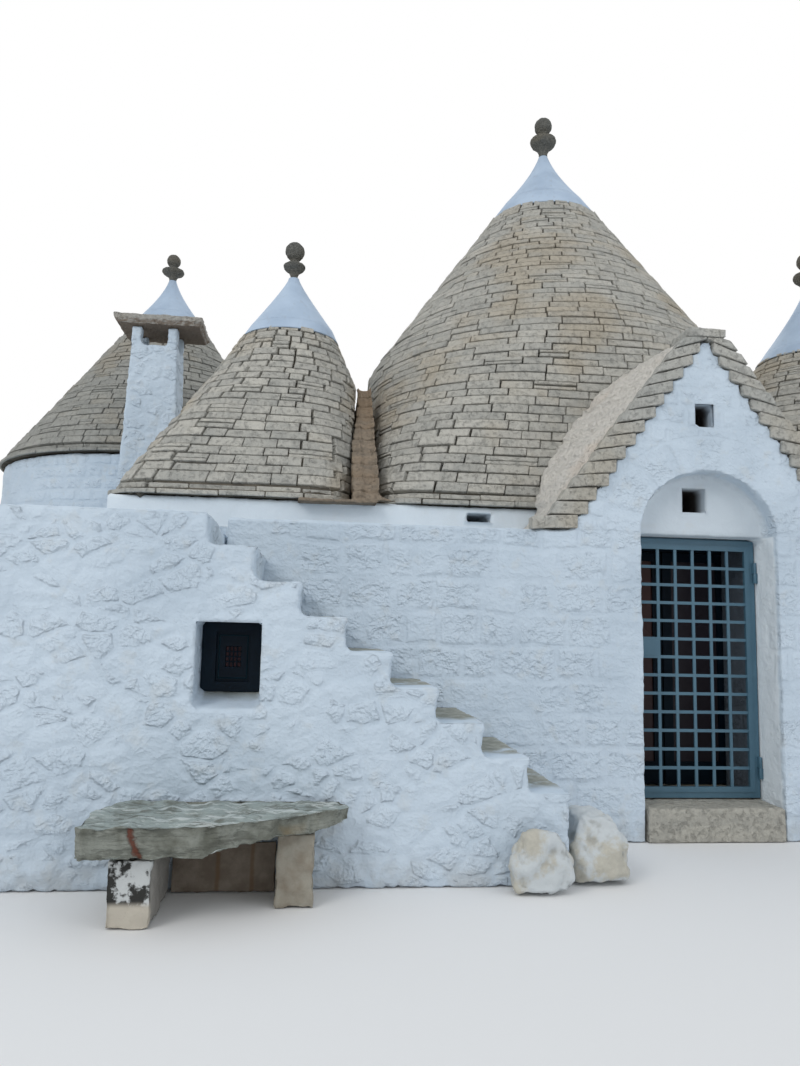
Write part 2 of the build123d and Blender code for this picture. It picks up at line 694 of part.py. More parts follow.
# Chimney
with BuildPart() as chimney_shaft:
    for wall, mode in ((0, Mode.ADD), (2 * CHIMNEY_WALL, Mode.SUBTRACT)):
        for z, (width, depth) in ((TERRACE_Z, CHIMNEY_FOOT), (CHIMNEY_SHAFT_Z, CHIMNEY_HEAD)):
            with BuildSketch(Plane.XY.offset(z)):
                with Locations(CHIMNEY_CENTRE):
                    Rectangle(width - wall, depth - wall)
        loft(ruled=True, mode=mode)
    with BuildSketch(Plane.XY.offset(CHIMNEY_SHAFT_Z)):
        with Locations(CHIMNEY_CENTRE):
            spacing = [side - CHIMNEY_POST for side in CHIMNEY_HEAD]
            with GridLocations(*spacing, 2, 2):
                Rectangle(CHIMNEY_POST, CHIMNEY_POST)
    extrude(amount=CHIMNEY_POST_HEIGHT)
finish(chimney_shaft, "chimney_shaft")

with BuildPart() as chimney_slab:
    width, depth, thickness = CHIMNEY_SLAB
    slab_x, slab_y = (a + b for a, b in zip(CHIMNEY_CENTRE, CHIMNEY_SLAB_SHIFT))
    slab_z = CHIMNEY_SHAFT_Z + CHIMNEY_POST_HEIGHT
    for z, inset in ((0, CHIMNEY_SLAB_BEVEL), (thickness / 2, 0), (thickness, 0)):
        with BuildSketch(Plane.XY.offset(slab_z + z)):
            with Locations((slab_x, slab_y)):
                Rectangle(width - inset, depth - inset)
    loft(ruled=True)
finish(chimney_slab, "chimney_slab")

# Bench
with BuildPart() as bench_slab:
    left, right = BENCH_X
    break_left, break_right = BENCH_BREAK_X
    with BuildSketch(Plane.XY.offset(BENCH_UNDER_Z)):
        Polygon(
            (left + BENCH_CORNER, FLANK_FACE_Y),
            (left, FLANK_FACE_Y - 2 * BENCH_CORNER),
            (left, BENCH_FRONT_Y + BENCH_CORNER / 2),
            (left + BENCH_CORNER / 2, BENCH_FRONT_Y),
            (break_left, BENCH_FRONT_Y + BENCH_CORNER / 2),
            (break_right, (BENCH_FRONT_Y + BENCH_TIP_Y) / 2),
            (right - BENCH_CORNER, BENCH_TIP_Y),
            (right, BENCH_TIP_Y + BENCH_CORNER),
            (right - BENCH_CORNER / 2, FLANK_FACE_Y),
            align=None,
        )
    extrude(amount=BENCH_TOP_Z - BENCH_UNDER_Z)
    with BuildSketch(front_plane(FLANK_FACE_Y)):
        Polygon(
            (break_left, BENCH_UNDER_Z),
            (right, BENCH_UNDER_Z),
            (right, BENCH_TIP_Z),
            (BENCH_RIGHT_LEG[1], BENCH_BREAK_Z),
            (break_right, BENCH_BREAK_Z),
            align=None,
        )
    extrude(amount=FLANK_FACE_Y - BENCH_FRONT_Y, mode=Mode.SUBTRACT)
finish(bench_slab, "bench_slab")

with BuildPart() as bench_legs:
    block(BENCH_LEFT_LEG, 0, BENCH_UNDER_Z)
    block(BENCH_RIGHT_LEG, 0, BENCH_BREAK_Z)
finish(bench_legs, "bench_legs")

with BuildPart() as bench_back:
    panel_front = FLANK_FACE_Y - BENCH_PANEL_THICKNESS
    region = (BENCH_LEFT_LEG[1], BENCH_RIGHT_LEG[0], panel_front, FLANK_FACE_Y)
    block(region, 0, BENCH_PANEL_HEIGHT)
finish(bench_back, "bench_back")

# Small window
border_x, border_z = WINDOW_FRAME_BORDER
light = (
    WINDOW_X[0] + border_x,
    WINDOW_X[1] - border_x,
    WINDOW_Z[0] + border_z,
    WINDOW_Z[1] - border_z,
)
with BuildPart() as window_frame:
    with BuildSketch(front_plane(WINDOW_FRAME_Y[0])):
        span(*WINDOW_X, *WINDOW_Z)
        span(*light, mode=Mode.SUBTRACT)
    extrude(amount=WINDOW_FRAME_Y[0] - WINDOW_FRAME_Y[1])
    pull_half_width, pull_half_height, pull_proud = WINDOW_PULL
    with BuildSketch(front_plane(WINDOW_FRAME_Y[0])):
        with Locations((sum(WINDOW_X) / 2, WINDOW_Z[0] + border_z / 2)):
            Ellipse(pull_half_width, pull_half_height)
    extrude(amount=pull_proud)
finish(window_frame, "window_frame")

with BuildPart() as window_panel:
    panel_y = sum(WINDOW_FRAME_Y) / 2
    grille_x, grille_z = (light[0] + light[1]) / 2, (light[2] + light[3]) / 2
    grille_width, grille_height = WINDOW_GRILLE
    cell_width, cell_height = (side / WINDOW_GRILLE_CELLS for side in WINDOW_GRILLE)
    bars = WINDOW_GRILLE_CELLS - 1
    with BuildSketch(front_plane(panel_y)):
        span(*light)
        with Locations((grille_x, grille_z)):
            Rectangle(grille_width, grille_height, mode=Mode.SUBTRACT)
            with GridLocations(cell_width, 0, bars, 1):
                Rectangle(WINDOW_GRILLE_BAR, grille_height)
            with GridLocations(0, cell_height, 1, bars):
                Rectangle(grille_width, WINDOW_GRILLE_BAR)
    extrude(amount=-WINDOW_PANEL_DEPTH)
finish(window_panel, "window_panel")

# Gate
leaf_bottom, leaf_top = LEAF_Z
stile_outer = LEAF_HALF - FLANGE_WIDTH
grid_half = stile_outer - STILE_WIDTH
grid_bottom = leaf_bottom + FLANGE_WIDTH + STILE_WIDTH
grid_top = leaf_top - FLANGE_WIDTH - STILE_WIDTH
column_pitch = 2 * grid_half / GRID_COLUMNS
row_pitch = (grid_top - grid_bottom) / GRID_ROWS
pin_radius, pin_length = HINGE_PIN
hinge_x, hinge_y = HINGE_AXIS

with BuildPart() as gate_leaf:
    with BuildSketch(front_plane(FLANGE_Y[0])):
        span(-LEAF_HALF, LEAF_HALF, leaf_bottom, leaf_top)
        inner = (leaf_bottom + FLANGE_WIDTH, leaf_top - FLANGE_WIDTH)
        span(-stile_outer, stile_outer, *inner, mode=Mode.SUBTRACT)
    extrude(amount=FLANGE_Y[0] - FLANGE_Y[1])
    with BuildSketch(front_plane(STILE_Y[0])):
        span(-stile_outer, stile_outer, *inner)
        span(-grid_half, grid_half, grid_bottom, grid_top, mode=Mode.SUBTRACT)
    extrude(amount=STILE_Y[0] - STILE_Y[1])
    with BuildSketch(front_plane(BAR_Y[0])):
        with Locations((0, (grid_bottom + grid_top) / 2)):
            with GridLocations(column_pitch, 0, GRID_COLUMNS - 1, 1):
                Rectangle(BAR_WIDTH, grid_top - grid_bottom)
            with GridLocations(0, row_pitch, 1, GRID_ROWS - 1):
                Rectangle(2 * grid_half, BAR_WIDTH)
    extrude(amount=BAR_Y[0] - BAR_Y[1])
    for z in HINGE_HEIGHTS:
        knuckle_top = z + HINGE_HALF_LENGTH
        block((hinge_x - HINGE_RADIUS, LEAF_HALF, hinge_y, FLANGE_Y[0]), z, knuckle_top)
        post(HINGE_AXIS, HINGE_RADIUS, z, knuckle_top)
        bore_top = z + pin_length + HINGE_LIFT
        post(HINGE_AXIS, pin_radius + HINGE_PLAY, z, bore_top, mode=Mode.SUBTRACT)
finish(gate_leaf, "gate_leaf")

with BuildPart() as gate_lock:
    row_foot = grid_bottom + LOCK_ROW * row_pitch
    region = (-grid_half, -grid_half + column_pitch - BAR_WIDTH / 2, *LOCK_Y)
    block(region, row_foot + BAR_WIDTH / 2, row_foot + row_pitch - BAR_WIDTH / 2)
finish(gate_lock, "gate_lock")

with BuildPart() as gate_frame:
    with BuildSketch(front_plane(STOP_FRAME_Y[0])):
        clear = DOOR_HALF - STOP_FRAME_WIDTH
        sill = FLOOR_Z + THRESHOLD_PROUD
        span(-DOOR_HALF, DOOR_HALF, sill, WALL_TOP_Z)
        span(-clear, clear, sill, WALL_TOP_Z - STOP_FRAME_WIDTH, mode=Mode.SUBTRACT)
    extrude(amount=STOP_FRAME_Y[0] - STOP_FRAME_Y[1])
    strap = (hinge_y - HINGE_STRAP / 2, hinge_y + HINGE_STRAP / 2)
    for z in HINGE_HEIGHTS:
        foot, top = z - HINGE_HALF_LENGTH, z - HINGE_LIFT
        block((hinge_x, DOOR_HALF, *strap), foot, top)
        post(HINGE_AXIS, HINGE_RADIUS, foot, top)
        post(HINGE_AXIS, pin_radius, foot, z + pin_length)
finish(gate_frame, "gate_frame")

# Glazed doors
door_top = WALL_TOP_Z - JAMB_WIDTH - DOOR_HEAD_GAP
butt_x, butt_y = BUTT_AXIS
flap_width, flap_thickness = BUTT_FLAP
butt_pin_radius, butt_pin_length = BUTT_PIN

with BuildPart() as door_frame:
    with BuildSketch(front_plane(JAMB_Y[0])):
        span(-EMBRASURE_HALF, EMBRASURE_HALF, FLOOR_Z, WALL_TOP_Z)
        head = WALL_TOP_Z - JAMB_WIDTH
        span(-DOOR_FRAME_HALF, DOOR_FRAME_HALF, FLOOR_Z, head, mode=Mode.SUBTRACT)
    extrude(amount=JAMB_Y[0] - JAMB_Y[1])
    for side in (-1, 1):
        axis = (side * butt_x, butt_y)
        flap = (axis[0], side * (butt_x + flap_width), JAMB_Y[1], JAMB_Y[1] + flap_thickness)
        for z in BUTT_HEIGHTS:
            foot, top = z - BUTT_HALF_LENGTH, z - BUTT_LIFT
            block(flap, foot, top)
            post(axis, BUTT_RADIUS, foot, top)
            post(axis, butt_pin_radius, foot, z + butt_pin_length)
finish(door_frame, "door_frame")


def door_leaf(side):
    """Framed leaf of the glazed pair, with its hinge knuckles; side is -1 left, 1 right."""
    meeting, edge = DOOR_X
    with BuildPart() as leaf:
        with BuildSketch(front_plane(DOOR_Y[0])):
            span(side * meeting, side * edge, DOOR_FOOT_Z, door_top)
            pane = (side * (meeting + DOOR_STILE), side * (edge - DOOR_STILE))
            rails = (DOOR_FOOT_Z + DOOR_BOTTOM_RAIL, door_top - DOOR_STILE)
            span(*pane, *rails, mode=Mode.SUBTRACT)
        extrude(amount=DOOR_Y[0] - DOOR_Y[1])
        axis = (side * butt_x, butt_y)
        flap = (axis[0], side * (butt_x - flap_width), DOOR_Y[1], DOOR_Y[1] + flap_thickness)
        for z in BUTT_HEIGHTS:
            block(flap, z, z + BUTT_HALF_LENGTH)
            post(axis, BUTT_RADIUS, z, z + BUTT_HALF_LENGTH)
            bore_top = z + butt_pin_length + BUTT_LIFT
            post(axis, butt_pin_radius + BUTT_PLAY, z, bore_top, mode=Mode.SUBTRACT)
    return leaf


def door_glass(side):
    """Pane that fills one leaf of the glazed pair."""
    meeting, edge = DOOR_X
    middle = sum(DOOR_Y) / 2
    left, right = side * (meeting + DOOR_STILE), side * (edge - DOOR_STILE)
    region = (left, right, middle - GLASS_THICKNESS / 2, middle + GLASS_THICKNESS / 2)
    with BuildPart() as pane:
        block(region, DOOR_FOOT_Z + DOOR_BOTTOM_RAIL, door_top - DOOR_STILE)
    return pane


finish(door_leaf(-1), "door_leaf_left")
finish(door_leaf(1), "door_leaf_right")
finish(door_glass(-1), "door_glass_left")
finish(door_glass(1), "door_glass_right")
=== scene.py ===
# %% [markdown]
# # A trullo house
# A trullo is a dry-stone house of the south: thick rubble walls under many coats of
# limewash, and round stone cones for roofs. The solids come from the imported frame. This
# script dresses them: stones one by one on the cones, lumps and joints on the walls, split
# slabs on the gable, and paint, glass and plaster where they belong.
#
# The first cell loads the frame and keeps its box, because the dressed house may not grow
# out of it.

# %% Load the frame
import json
import math

import bmesh
import bpy
import numpy as np
from mathutils import Matrix, Vector


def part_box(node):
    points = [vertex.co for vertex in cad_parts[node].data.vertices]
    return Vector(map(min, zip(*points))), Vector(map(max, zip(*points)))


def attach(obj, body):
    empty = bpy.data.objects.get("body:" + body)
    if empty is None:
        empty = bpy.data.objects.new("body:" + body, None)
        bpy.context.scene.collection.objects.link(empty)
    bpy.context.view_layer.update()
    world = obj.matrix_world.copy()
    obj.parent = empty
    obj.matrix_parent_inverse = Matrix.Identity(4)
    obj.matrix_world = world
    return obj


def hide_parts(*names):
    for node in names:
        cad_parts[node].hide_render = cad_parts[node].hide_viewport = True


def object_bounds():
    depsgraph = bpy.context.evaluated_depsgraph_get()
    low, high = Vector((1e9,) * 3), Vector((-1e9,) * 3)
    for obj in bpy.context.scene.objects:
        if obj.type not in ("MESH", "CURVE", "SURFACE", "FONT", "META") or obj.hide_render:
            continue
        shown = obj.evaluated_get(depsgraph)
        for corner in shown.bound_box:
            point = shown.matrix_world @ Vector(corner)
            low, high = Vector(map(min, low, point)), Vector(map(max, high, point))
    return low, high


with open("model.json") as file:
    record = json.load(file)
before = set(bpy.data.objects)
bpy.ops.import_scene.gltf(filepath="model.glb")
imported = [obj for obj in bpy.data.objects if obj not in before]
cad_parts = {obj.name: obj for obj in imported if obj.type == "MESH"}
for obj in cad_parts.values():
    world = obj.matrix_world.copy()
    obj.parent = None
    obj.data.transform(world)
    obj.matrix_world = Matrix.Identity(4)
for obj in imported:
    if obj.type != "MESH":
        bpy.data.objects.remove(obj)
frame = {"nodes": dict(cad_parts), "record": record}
NODES = frame["nodes"]


def plain_box():
    """Lowest and highest corner of everything that is shown, as plain numbers."""
    low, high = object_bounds()
    return [list(map(float, low)), list(map(float, high))]


cad_box = plain_box()

# %% [markdown]
# ## Camera
# The photographer stood a little left of the doorway and held a wide lens at eye height,
# turned slightly to the right and tilted up. The lens is given in millimetres for a 36 mm
# sensor that is as high as the picture, so the sensor fit is vertical. The axes of the
# view are worked out from the three angles and written straight into the camera's matrix.

# %% Camera
PHOTO_LONG_SIDE = 1066
FOCAL_PIXELS = 801
SENSOR, SIGHT = 36.0, 200.0
EYE = (-3.095, -5.987, 1.55)
YAW, PITCH, ROLL = (math.radians(a) for a in (6.0, 6.8, 1.3))


def camera_matrix(eye, yaw, pitch, roll):
    """World matrix of a camera from its place and its three angles."""
    ahead = Vector(
        (math.sin(yaw) * math.cos(pitch), math.cos(yaw) * math.cos(pitch), math.sin(pitch))
    )
    right = Vector((math.cos(yaw), -math.sin(yaw), 0.0))
    up = right.cross(ahead)
    right, up = (
        math.cos(roll) * right + math.sin(roll) * up,
        math.cos(roll) * up - math.sin(roll) * right,
    )
    turn = Matrix((right, up, -ahead)).transposed().to_4x4()
    turn.translation = Vector(eye)
    return turn


camera_data = bpy.data.cameras.new("camera")
camera_data.sensor_fit = "VERTICAL"
camera_data.sensor_height = SENSOR
camera_data.lens = FOCAL_PIXELS / PHOTO_LONG_SIDE * SENSOR
camera_data.clip_end = SIGHT
camera = bpy.data.objects.new("camera", camera_data)
camera.matrix_world = camera_matrix(EYE, YAW, PITCH, ROLL)
bpy.context.scene.collection.objects.link(camera)
bpy.context.scene.camera = camera
print("lens:", round(camera_data.lens, 2), "mm")

# %% [markdown]
# ## Maths in plain expressions
# Materials and Geometry Nodes trees are easier to read as sums than as webs of nodes. One
# small class holds a socket, and its operators add the Math node that does the sum. Colours
# never go through Math, which would turn them grey: they are blended by Mix. Any other node
# comes from one method that sets its settings first and its sockets after. Shader trees and
# geometry trees share their Math and texture nodes, so one class serves both.


# %% Sums
class Sum:
    """A socket's value that can be used in a Python expression."""

    def __init__(self, web, socket):
        self.web, self.socket = web, socket

    def op(self, operation, *others):
        """A Math node with this value as its first term."""
        return self.web.maths(operation, self, *others)

    def __add__(self, other):
        return self.op("ADD", other)

    def __mul__(self, other):
        return self.op("MULTIPLY", other)

    def __sub__(self, other):
        return self.op("SUBTRACT", other)

    def __rsub__(self, other):
        return self.web.maths("SUBTRACT", other, self)

    def __truediv__(self, other):
        return self.op("DIVIDE", other)

    def __rtruediv__(self, other):
        return self.web.maths("DIVIDE", other, self)

    __radd__, __rmul__ = __add__, __mul__

    def ramp(self, start, end):
        """0 below start, 1 above end and smooth between; start may be the larger."""
        low, high = (0.0, 1.0) if start < end else (1.0, 0.0)
        values = {
            "Value": self,
            "From Min": min(start, end),
            "From Max": max(start, end),
            "To Min": low,
            "To Max": high,
        }
        node = self.web.node("MapRange", {"interpolation_type": "SMOOTHSTEP"}, values)
        return Sum(self.web, node.outputs["Result"])

    def within(self, start, full, fading, gone):
        """1 between full and fading, 0 outside start and gone, and smooth between them."""
        return self.ramp(start, full) * self.ramp(gone, fading)


class Web:
    """What a material's nodes and a geometry tree's nodes have in common."""

    def node(self, kind, settings=None, sockets=None):
        """Any node: its settings first, then its sockets' values or links."""
        prefixed = kind.startswith(("Geometry", "Function", "NodeGroup"))
        made = self.tree.nodes.new(kind if prefixed else "ShaderNode" + kind)
        for name, value in (settings or {}).items():
            setattr(made, name, value)
        for name, value in (sockets or {}).items():
            self.feed(made.inputs[name], value)
        return made

    def feed(self, socket, value):
        """Links a sum or a socket to a socket, or writes a plain value on it."""
        if isinstance(value, Sum):
            value = value.socket
        if isinstance(value, bpy.types.NodeSocket):
            self.tree.links.new(value, socket)
        else:
            socket.default_value = value

    def maths(self, operation, *values):
        """A Math node of these values, as a sum."""
        node = self.node("Math", {"operation": operation}, dict(enumerate(values)))
        return Sum(self, node.outputs[0])

    def xyz(self, vector):
        """The three parts of a vector, as sums."""
        split = self.node("SeparateXYZ", {}, {0: vector})
        return [Sum(self, out) for out in split.outputs]

    def scaled(self, vector, scale):
        """A vector times a number or times three numbers."""
        if isinstance(scale, tuple):
            node = self.node("VectorMath", {"operation": "MULTIPLY"}, {0: vector, 1: scale})
        else:
            node = self.node("VectorMath", {"operation": "SCALE"}, {0: vector, 3: scale})
        return node.outputs[0]

    def moved(self, vector, by):
        """A vector plus another one."""
        return self.node("VectorMath", {"operation": "ADD"}, {0: vector, 1: by}).outputs[0]

    def drift(self, scale, detail=3.0, at=None):
        """Noise as a vector: three cloudy numbers from 0 to 1."""
        facts = {"Vector": at or self.place, "Scale": scale, "Detail": detail}
        return self.node("TexNoise", {}, facts).outputs[1]

    def noise(self, scale, detail=3.0, roughness=0.55, at=None):
        """Cloudy noise from 0 to 1 with its middle at 0.5."""
        facts = {"Scale": scale, "Detail": detail, "Roughness": roughness}
        facts["Vector"] = at or self.place
        return Sum(self, self.node("TexNoise", {}, facts).outputs[0])

    def cells(self, scale, feature="F1", at=None, output="Distance"):
        """Voronoi cells: distance to a point or an edge, or a random colour a cell."""
        facts = {"Scale": scale, "Vector": at or self.place}
        return Sum(self, self.node("TexVoronoi", {"feature": feature}, facts).outputs[output])


print("sums ready")

# %% [markdown]
# ## Light and floor
# Soft daylight from an open sky: a plain grey-white world gives most of the light, and
# three wide, weak lamps give the walls their shape. The floor is a plain pale sheet. The
# world is seen white by the camera and by mirrors, so the background stays clean without
# more light on the house.

# %% World, lamps and floor
SKY_LIGHT, SKY_COLOUR = 0.78, (0.93, 0.965, 1.0, 1)
# name, place, side, power and colour of each lamp
LAMPS = (
    ("key_light", (-16.0, -14.0, 15.0), 9.0, 1350.0, (1.0, 0.985, 0.96)),
    ("fill_light", (14.0, -12.0, 9.0), 9.0, 420.0, (0.93, 0.96, 1.0)),
    ("rear_light", (4.0, 20.0, 13.0), 9.0, 700.0, (0.96, 0.98, 1.0)),
)
HOUSE_MIDDLE = (-2.0, 2.5, 1.5)


def add_lamp(name, place, size, power, colour):
    """Square lamp that looks at the middle of the house."""
    data = bpy.data.lights.new(name, "AREA")
    data.shape = "SQUARE"
    data.size = size
    data.energy = power
    data.color = colour
    lamp = bpy.data.objects.new(name, data)
    lamp.location = place
    aim = Vector(HOUSE_MIDDLE) - Vector(place)
    lamp.rotation_euler = aim.to_track_quat("-Z", "Y").to_euler()
    bpy.context.scene.collection.objects.link(lamp)


for lamp_facts in LAMPS:
    add_lamp(*lamp_facts)


def bare_web(data):
    """The emptied node tree of a world or a material."""
    data.use_nodes = True
    data.node_tree.nodes.clear()
    web = Web()
    web.tree = data.node_tree
    return web


def build_world():
    """World that lights at SKY_LIGHT and is seen as white."""
    world = bpy.data.worlds.new("sky")
    web = bare_web(world)
    paths = web.node("LightPath").outputs
    seen = Sum(web, paths["Is Camera Ray"]).op("MAXIMUM", paths["Is Glossy Ray"])
    lit, white = (
        web.node("Background", {}, {"Color": colour, "Strength": strength}).outputs[0]
        for strength, colour in ((SKY_LIGHT, SKY_COLOUR), (1.0, (1, 1, 1, 1)))
    )
    mix = web.node("MixShader", {}, {0: seen, 1: lit, 2: white})
    web.node("OutputWorld", {}, {0: mix.outputs[0]})
    bpy.context.scene.world = world


build_world()
bpy.context.scene.view_settings.view_transform = "Standard"

FLOOR_SIZE, FLOOR_DROP = 400.0, 0.002
FLOOR_COLOUR = (0.80, 0.80, 0.80, 1)
FADE_FROM, FADE_TO = 12.0, 45.0


def floor_material():
    """Pale floor that fades into the white background far from the house."""
    material = bpy.data.materials.new("studio_floor")
    web = bare_web(material)
    place = web.node("TexCoord").outputs["Object"]
    length = web.node("VectorMath", {"operation": "LENGTH"}, {0: place}).outputs["Value"]
    seen = web.node("LightPath").outputs["Is Camera Ray"]
    fade = Sum(web, length).ramp(FADE_FROM, FADE_TO) * seen
    pale = web.node("BsdfDiffuse", {}, {"Color": FLOOR_COLOUR}).outputs[0]
    white = web.node("Emission").outputs[0]
    mix = web.node("MixShader", {}, {0: fade, 1: pale, 2: white})
    web.node("OutputMaterial", {}, {0: mix.outputs[0]})
    return material


bpy.ops.mesh.primitive_plane_add(size=FLOOR_SIZE, location=(0, 0, -FLOOR_DROP))
studio_floor = bpy.context.object
studio_floor.name = "studio_floor"
studio_floor.data.materials.append(floor_material())
print("lamps:", len(LAMPS))

# %% [markdown]
# ## Shapes by node trees
# Lumps in a wall and stones on a cone are too many to draw by hand. A Geometry Nodes tree
# makes them from a plain mesh, with named inputs for the sizes, so one tree serves many
# pieces. A tree runs as a modifier. Its result then becomes the piece's plain mesh, which
# keeps the scene simple and lets Python go on with the points.

# %% Trees for shapes
class Tree(Web):
    """A Geometry Nodes tree with named inputs, run on an object's mesh."""

    def __init__(self, name, **sizes):
        self.tree = bpy.data.node_groups.new(name, "GeometryNodeTree")
        face = self.tree.interface
        face.new_socket("Geometry", in_out="INPUT", socket_type="NodeSocketGeometry")
        face.new_socket("Geometry", in_out="OUTPUT", socket_type="NodeSocketGeometry")
        self.labels = {}
        for label, value in sizes.items():
            kind = "NodeSocketInt" if isinstance(value, int) else "NodeSocketFloat"
            title = label.replace("_", " ").capitalize()
            socket = face.new_socket(title, in_out="INPUT", socket_type=kind)
            socket.default_value = value
            self.labels[label] = socket.identifier
        face.new_socket("Material", in_out="INPUT", socket_type="NodeSocketMaterial")
        self.labels["material"] = face.items_tree[-1].identifier
        self.source = self.node("NodeGroupInput")
        self.geometry = self.source.outputs["Geometry"]
        self.place = self.node("GeometryNodeInputPosition").outputs[0]
        self.normal = self.node("GeometryNodeInputNormal").outputs[0]

    def size(self, label):
        """One of the named inputs, as a sum."""
        names = {s.identifier: s for s in self.source.outputs}
        return Sum(self, names[self.labels[label]])

    def step(self, kind, settings=None, **sockets):
        """A node that changes the geometry; what it gives is the geometry from then on."""
        made = self.node("GeometryNode" + kind, settings)
        self.feed(made.inputs[0], self.geometry)
        for name, value in sockets.items():
            self.feed(made.inputs[name.replace("_", " ")], value)
        self.geometry = made.outputs[0]

    def stored(self, name):
        """A number that is stored on the mesh."""
        node = self.node("GeometryNodeInputNamedAttribute", {}, {"Name": name})
        return Sum(self, node.outputs["Attribute"])

    def store(self, name, value, domain="POINT", kind="FLOAT"):
        """Stores a number or a vector on the mesh under a name."""
        facts = {"domain": domain, "data_type": kind}
        self.step("StoreNamedAttribute", facts, Name=name, Value=value)

    def move(self, distance):
        """Moves the surface along its normals."""
        self.step("SetPosition", Offset=self.scaled(self.normal, distance))

    def end(self, smooth):
        """Closes the tree: real geometry, its shading and its material."""
        self.step("RealizeInstances")
        self.step("SetShadeSmooth", Shade_Smooth=smooth)
        self.step("SetMaterial", Material=self.size("material"))
        output = self.node("NodeGroupOutput")
        self.feed(output.inputs[0], self.geometry)

    def run(self, piece, material, edges=0.0, **sizes):
        """Runs the tree on a piece, eases its edges and keeps the result as a plain mesh."""
        modifier = piece.modifiers.new(self.tree.name, "NODES")
        modifier.node_group = self.tree
        for label, value in {**sizes, "material": material}.items():
            modifier[self.labels[label]] = value
        if edges:
            ease(piece, edges, segments=1)
        settle(piece)


SHARP_EDGE = math.radians(40)


def ease(piece, width, segments=2):
    """Takes the sharpness off a piece's edges."""
    bevel = piece.modifiers.new("edges", "BEVEL")
    bevel.width, bevel.segments = width, segments
    bevel.limit_method, bevel.angle_limit = "ANGLE", SHARP_EDGE


def settle(piece):
    """Turns what a piece's modifiers give into its plain mesh."""
    bpy.context.view_layer.update()
    graph = bpy.context.evaluated_depsgraph_get()
    old = piece.data
    piece.data = bpy.data.meshes.new_from_object(piece.evaluated_get(graph), depsgraph=graph)
    piece.data.name = piece.name
    piece.modifiers.clear()
    bpy.data.meshes.remove(old)
    return piece


print("trees ready")

# %% [markdown]
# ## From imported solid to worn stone
# Nothing on an old house has a machined edge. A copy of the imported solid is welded, then
# the Remesh modifier wraps it in a net of small even squares. That rounds every edge by
# about one square and gives the relief trees enough points to move. The voxel size is the
# finest lump that can be shown.


# %% Copies and nets
WELD = 1e-5


def add_piece(name, mesh):
    """A new object in the scene for a mesh."""
    piece = bpy.data.objects.new(name, mesh)
    bpy.context.scene.collection.objects.link(piece)
    return piece


def copy_of(name, *nodes):
    """One welded copy of some CAD nodes, as a new piece."""
    joined = bmesh.new()
    for node in nodes:
        start = len(joined.verts)
        joined.from_mesh(NODES[node].data)
        joined.verts.ensure_lookup_table()
        bmesh.ops.remove_doubles(joined, verts=joined.verts[start:], dist=WELD)
    mesh = bpy.data.meshes.new(name)
    joined.to_mesh(mesh)
    joined.free()
    if mesh.attributes.get("custom_normal"):
        mesh.attributes.remove(mesh.attributes["custom_normal"])
    return add_piece(name, mesh)


def net_over(piece, voxel):
    """Wraps a piece in a net of even squares."""
    remesh = piece.modifiers.new("net", "REMESH")
    remesh.mode = "VOXEL"
    remesh.voxel_size = voxel
    return settle(piece)


def netted(name, voxel, *nodes):
    """A copy of some CAD nodes under a net of even squares."""
    return net_over(copy_of(name, *nodes), voxel)


def skin(shape, rings, closed=False):
    """Adds a skin through rings of points: its two ends are capped, or it closes on itself."""
    made = [[shape.verts.new(point) for point in ring] for ring in rings]
    pairs = list(zip(made[:-1], made[1:]))
    if closed:
        pairs.append((made[-1], made[0]))
    else:
        shape.faces.new(made[0][::-1])
        shape.faces.new(made[-1])
    for low, high in pairs:
        for k, point in enumerate(low):
            n = (k + 1) % len(low)
            shape.faces.new((point, low[n], high[n], high[k]))


def circle(centre, radius, z, sides=48):
    """Points round an upright axis."""
    angles = np.arange(sides) * 2 * math.pi / sides
    x, y = centre
    return [(x + radius * math.cos(a), y + radius * math.sin(a), z) for a in angles]


def solid_piece(name, shape):
    """A new piece from a drawn solid, its faces turned outwards."""
    bmesh.ops.recalc_face_normals(shape, faces=shape.faces)
    mesh = bpy.data.meshes.new(name)
    shape.to_mesh(mesh)
    shape.free()
    return add_piece(name, mesh)


def points_of(piece):
    """The places of a piece's vertices, as an array."""
    flat = np.empty(len(piece.data.vertices) * 3, np.float32)
    piece.data.vertices.foreach_get("co", flat)
    return flat.reshape(-1, 3)


def normals_of(piece):
    """The normals of a piece's vertices, as an array."""
    flat = np.empty(len(piece.data.vertices) * 3, np.float32)
    piece.data.vertex_normals.foreach_get("vector", flat)
    return flat.reshape(-1, 3)


def write_points(piece, points):
    """Moves a piece's vertices to new places."""
    piece.data.vertices.foreach_set("co", np.ascontiguousarray(points, np.float32).ravel())
    piece.data.update()


def write_number(piece, name, values):
    """Stores one number for each vertex of a piece."""
    attribute = piece.data.attributes.new(name, "FLOAT", "POINT")
    attribute.data.foreach_set("value", np.ascontiguousarray(values, np.float32))


def triangles(piece):
    """How many triangles a piece's faces make."""
    return sum(len(polygon.vertices) - 2 for polygon in piece.data.polygons)


def place(piece, slot, *replaced, body="house"):
    """Seats a finished piece on its body and hides the CAD nodes that it stands for.

    Points that the roughening pushed past the CAD box are first brought back to it.
    """
    write_points(piece, np.clip(points_of(piece), *cad_box))
    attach(piece, body)
    if replaced:
        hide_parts(*replaced)
    print(piece.name, "triangles:", triangles(piece))


print("nets ready")

# %% [markdown]
# ## Recipes for finishes
# Paint, wash and stone are all one kind of shader with different numbers. A recipe makes
# that shader, and its methods mix colours and add bump. Only the colour, the roughness and
# the surface's slope vary from spot to spot, so the material can be baked to pictures.

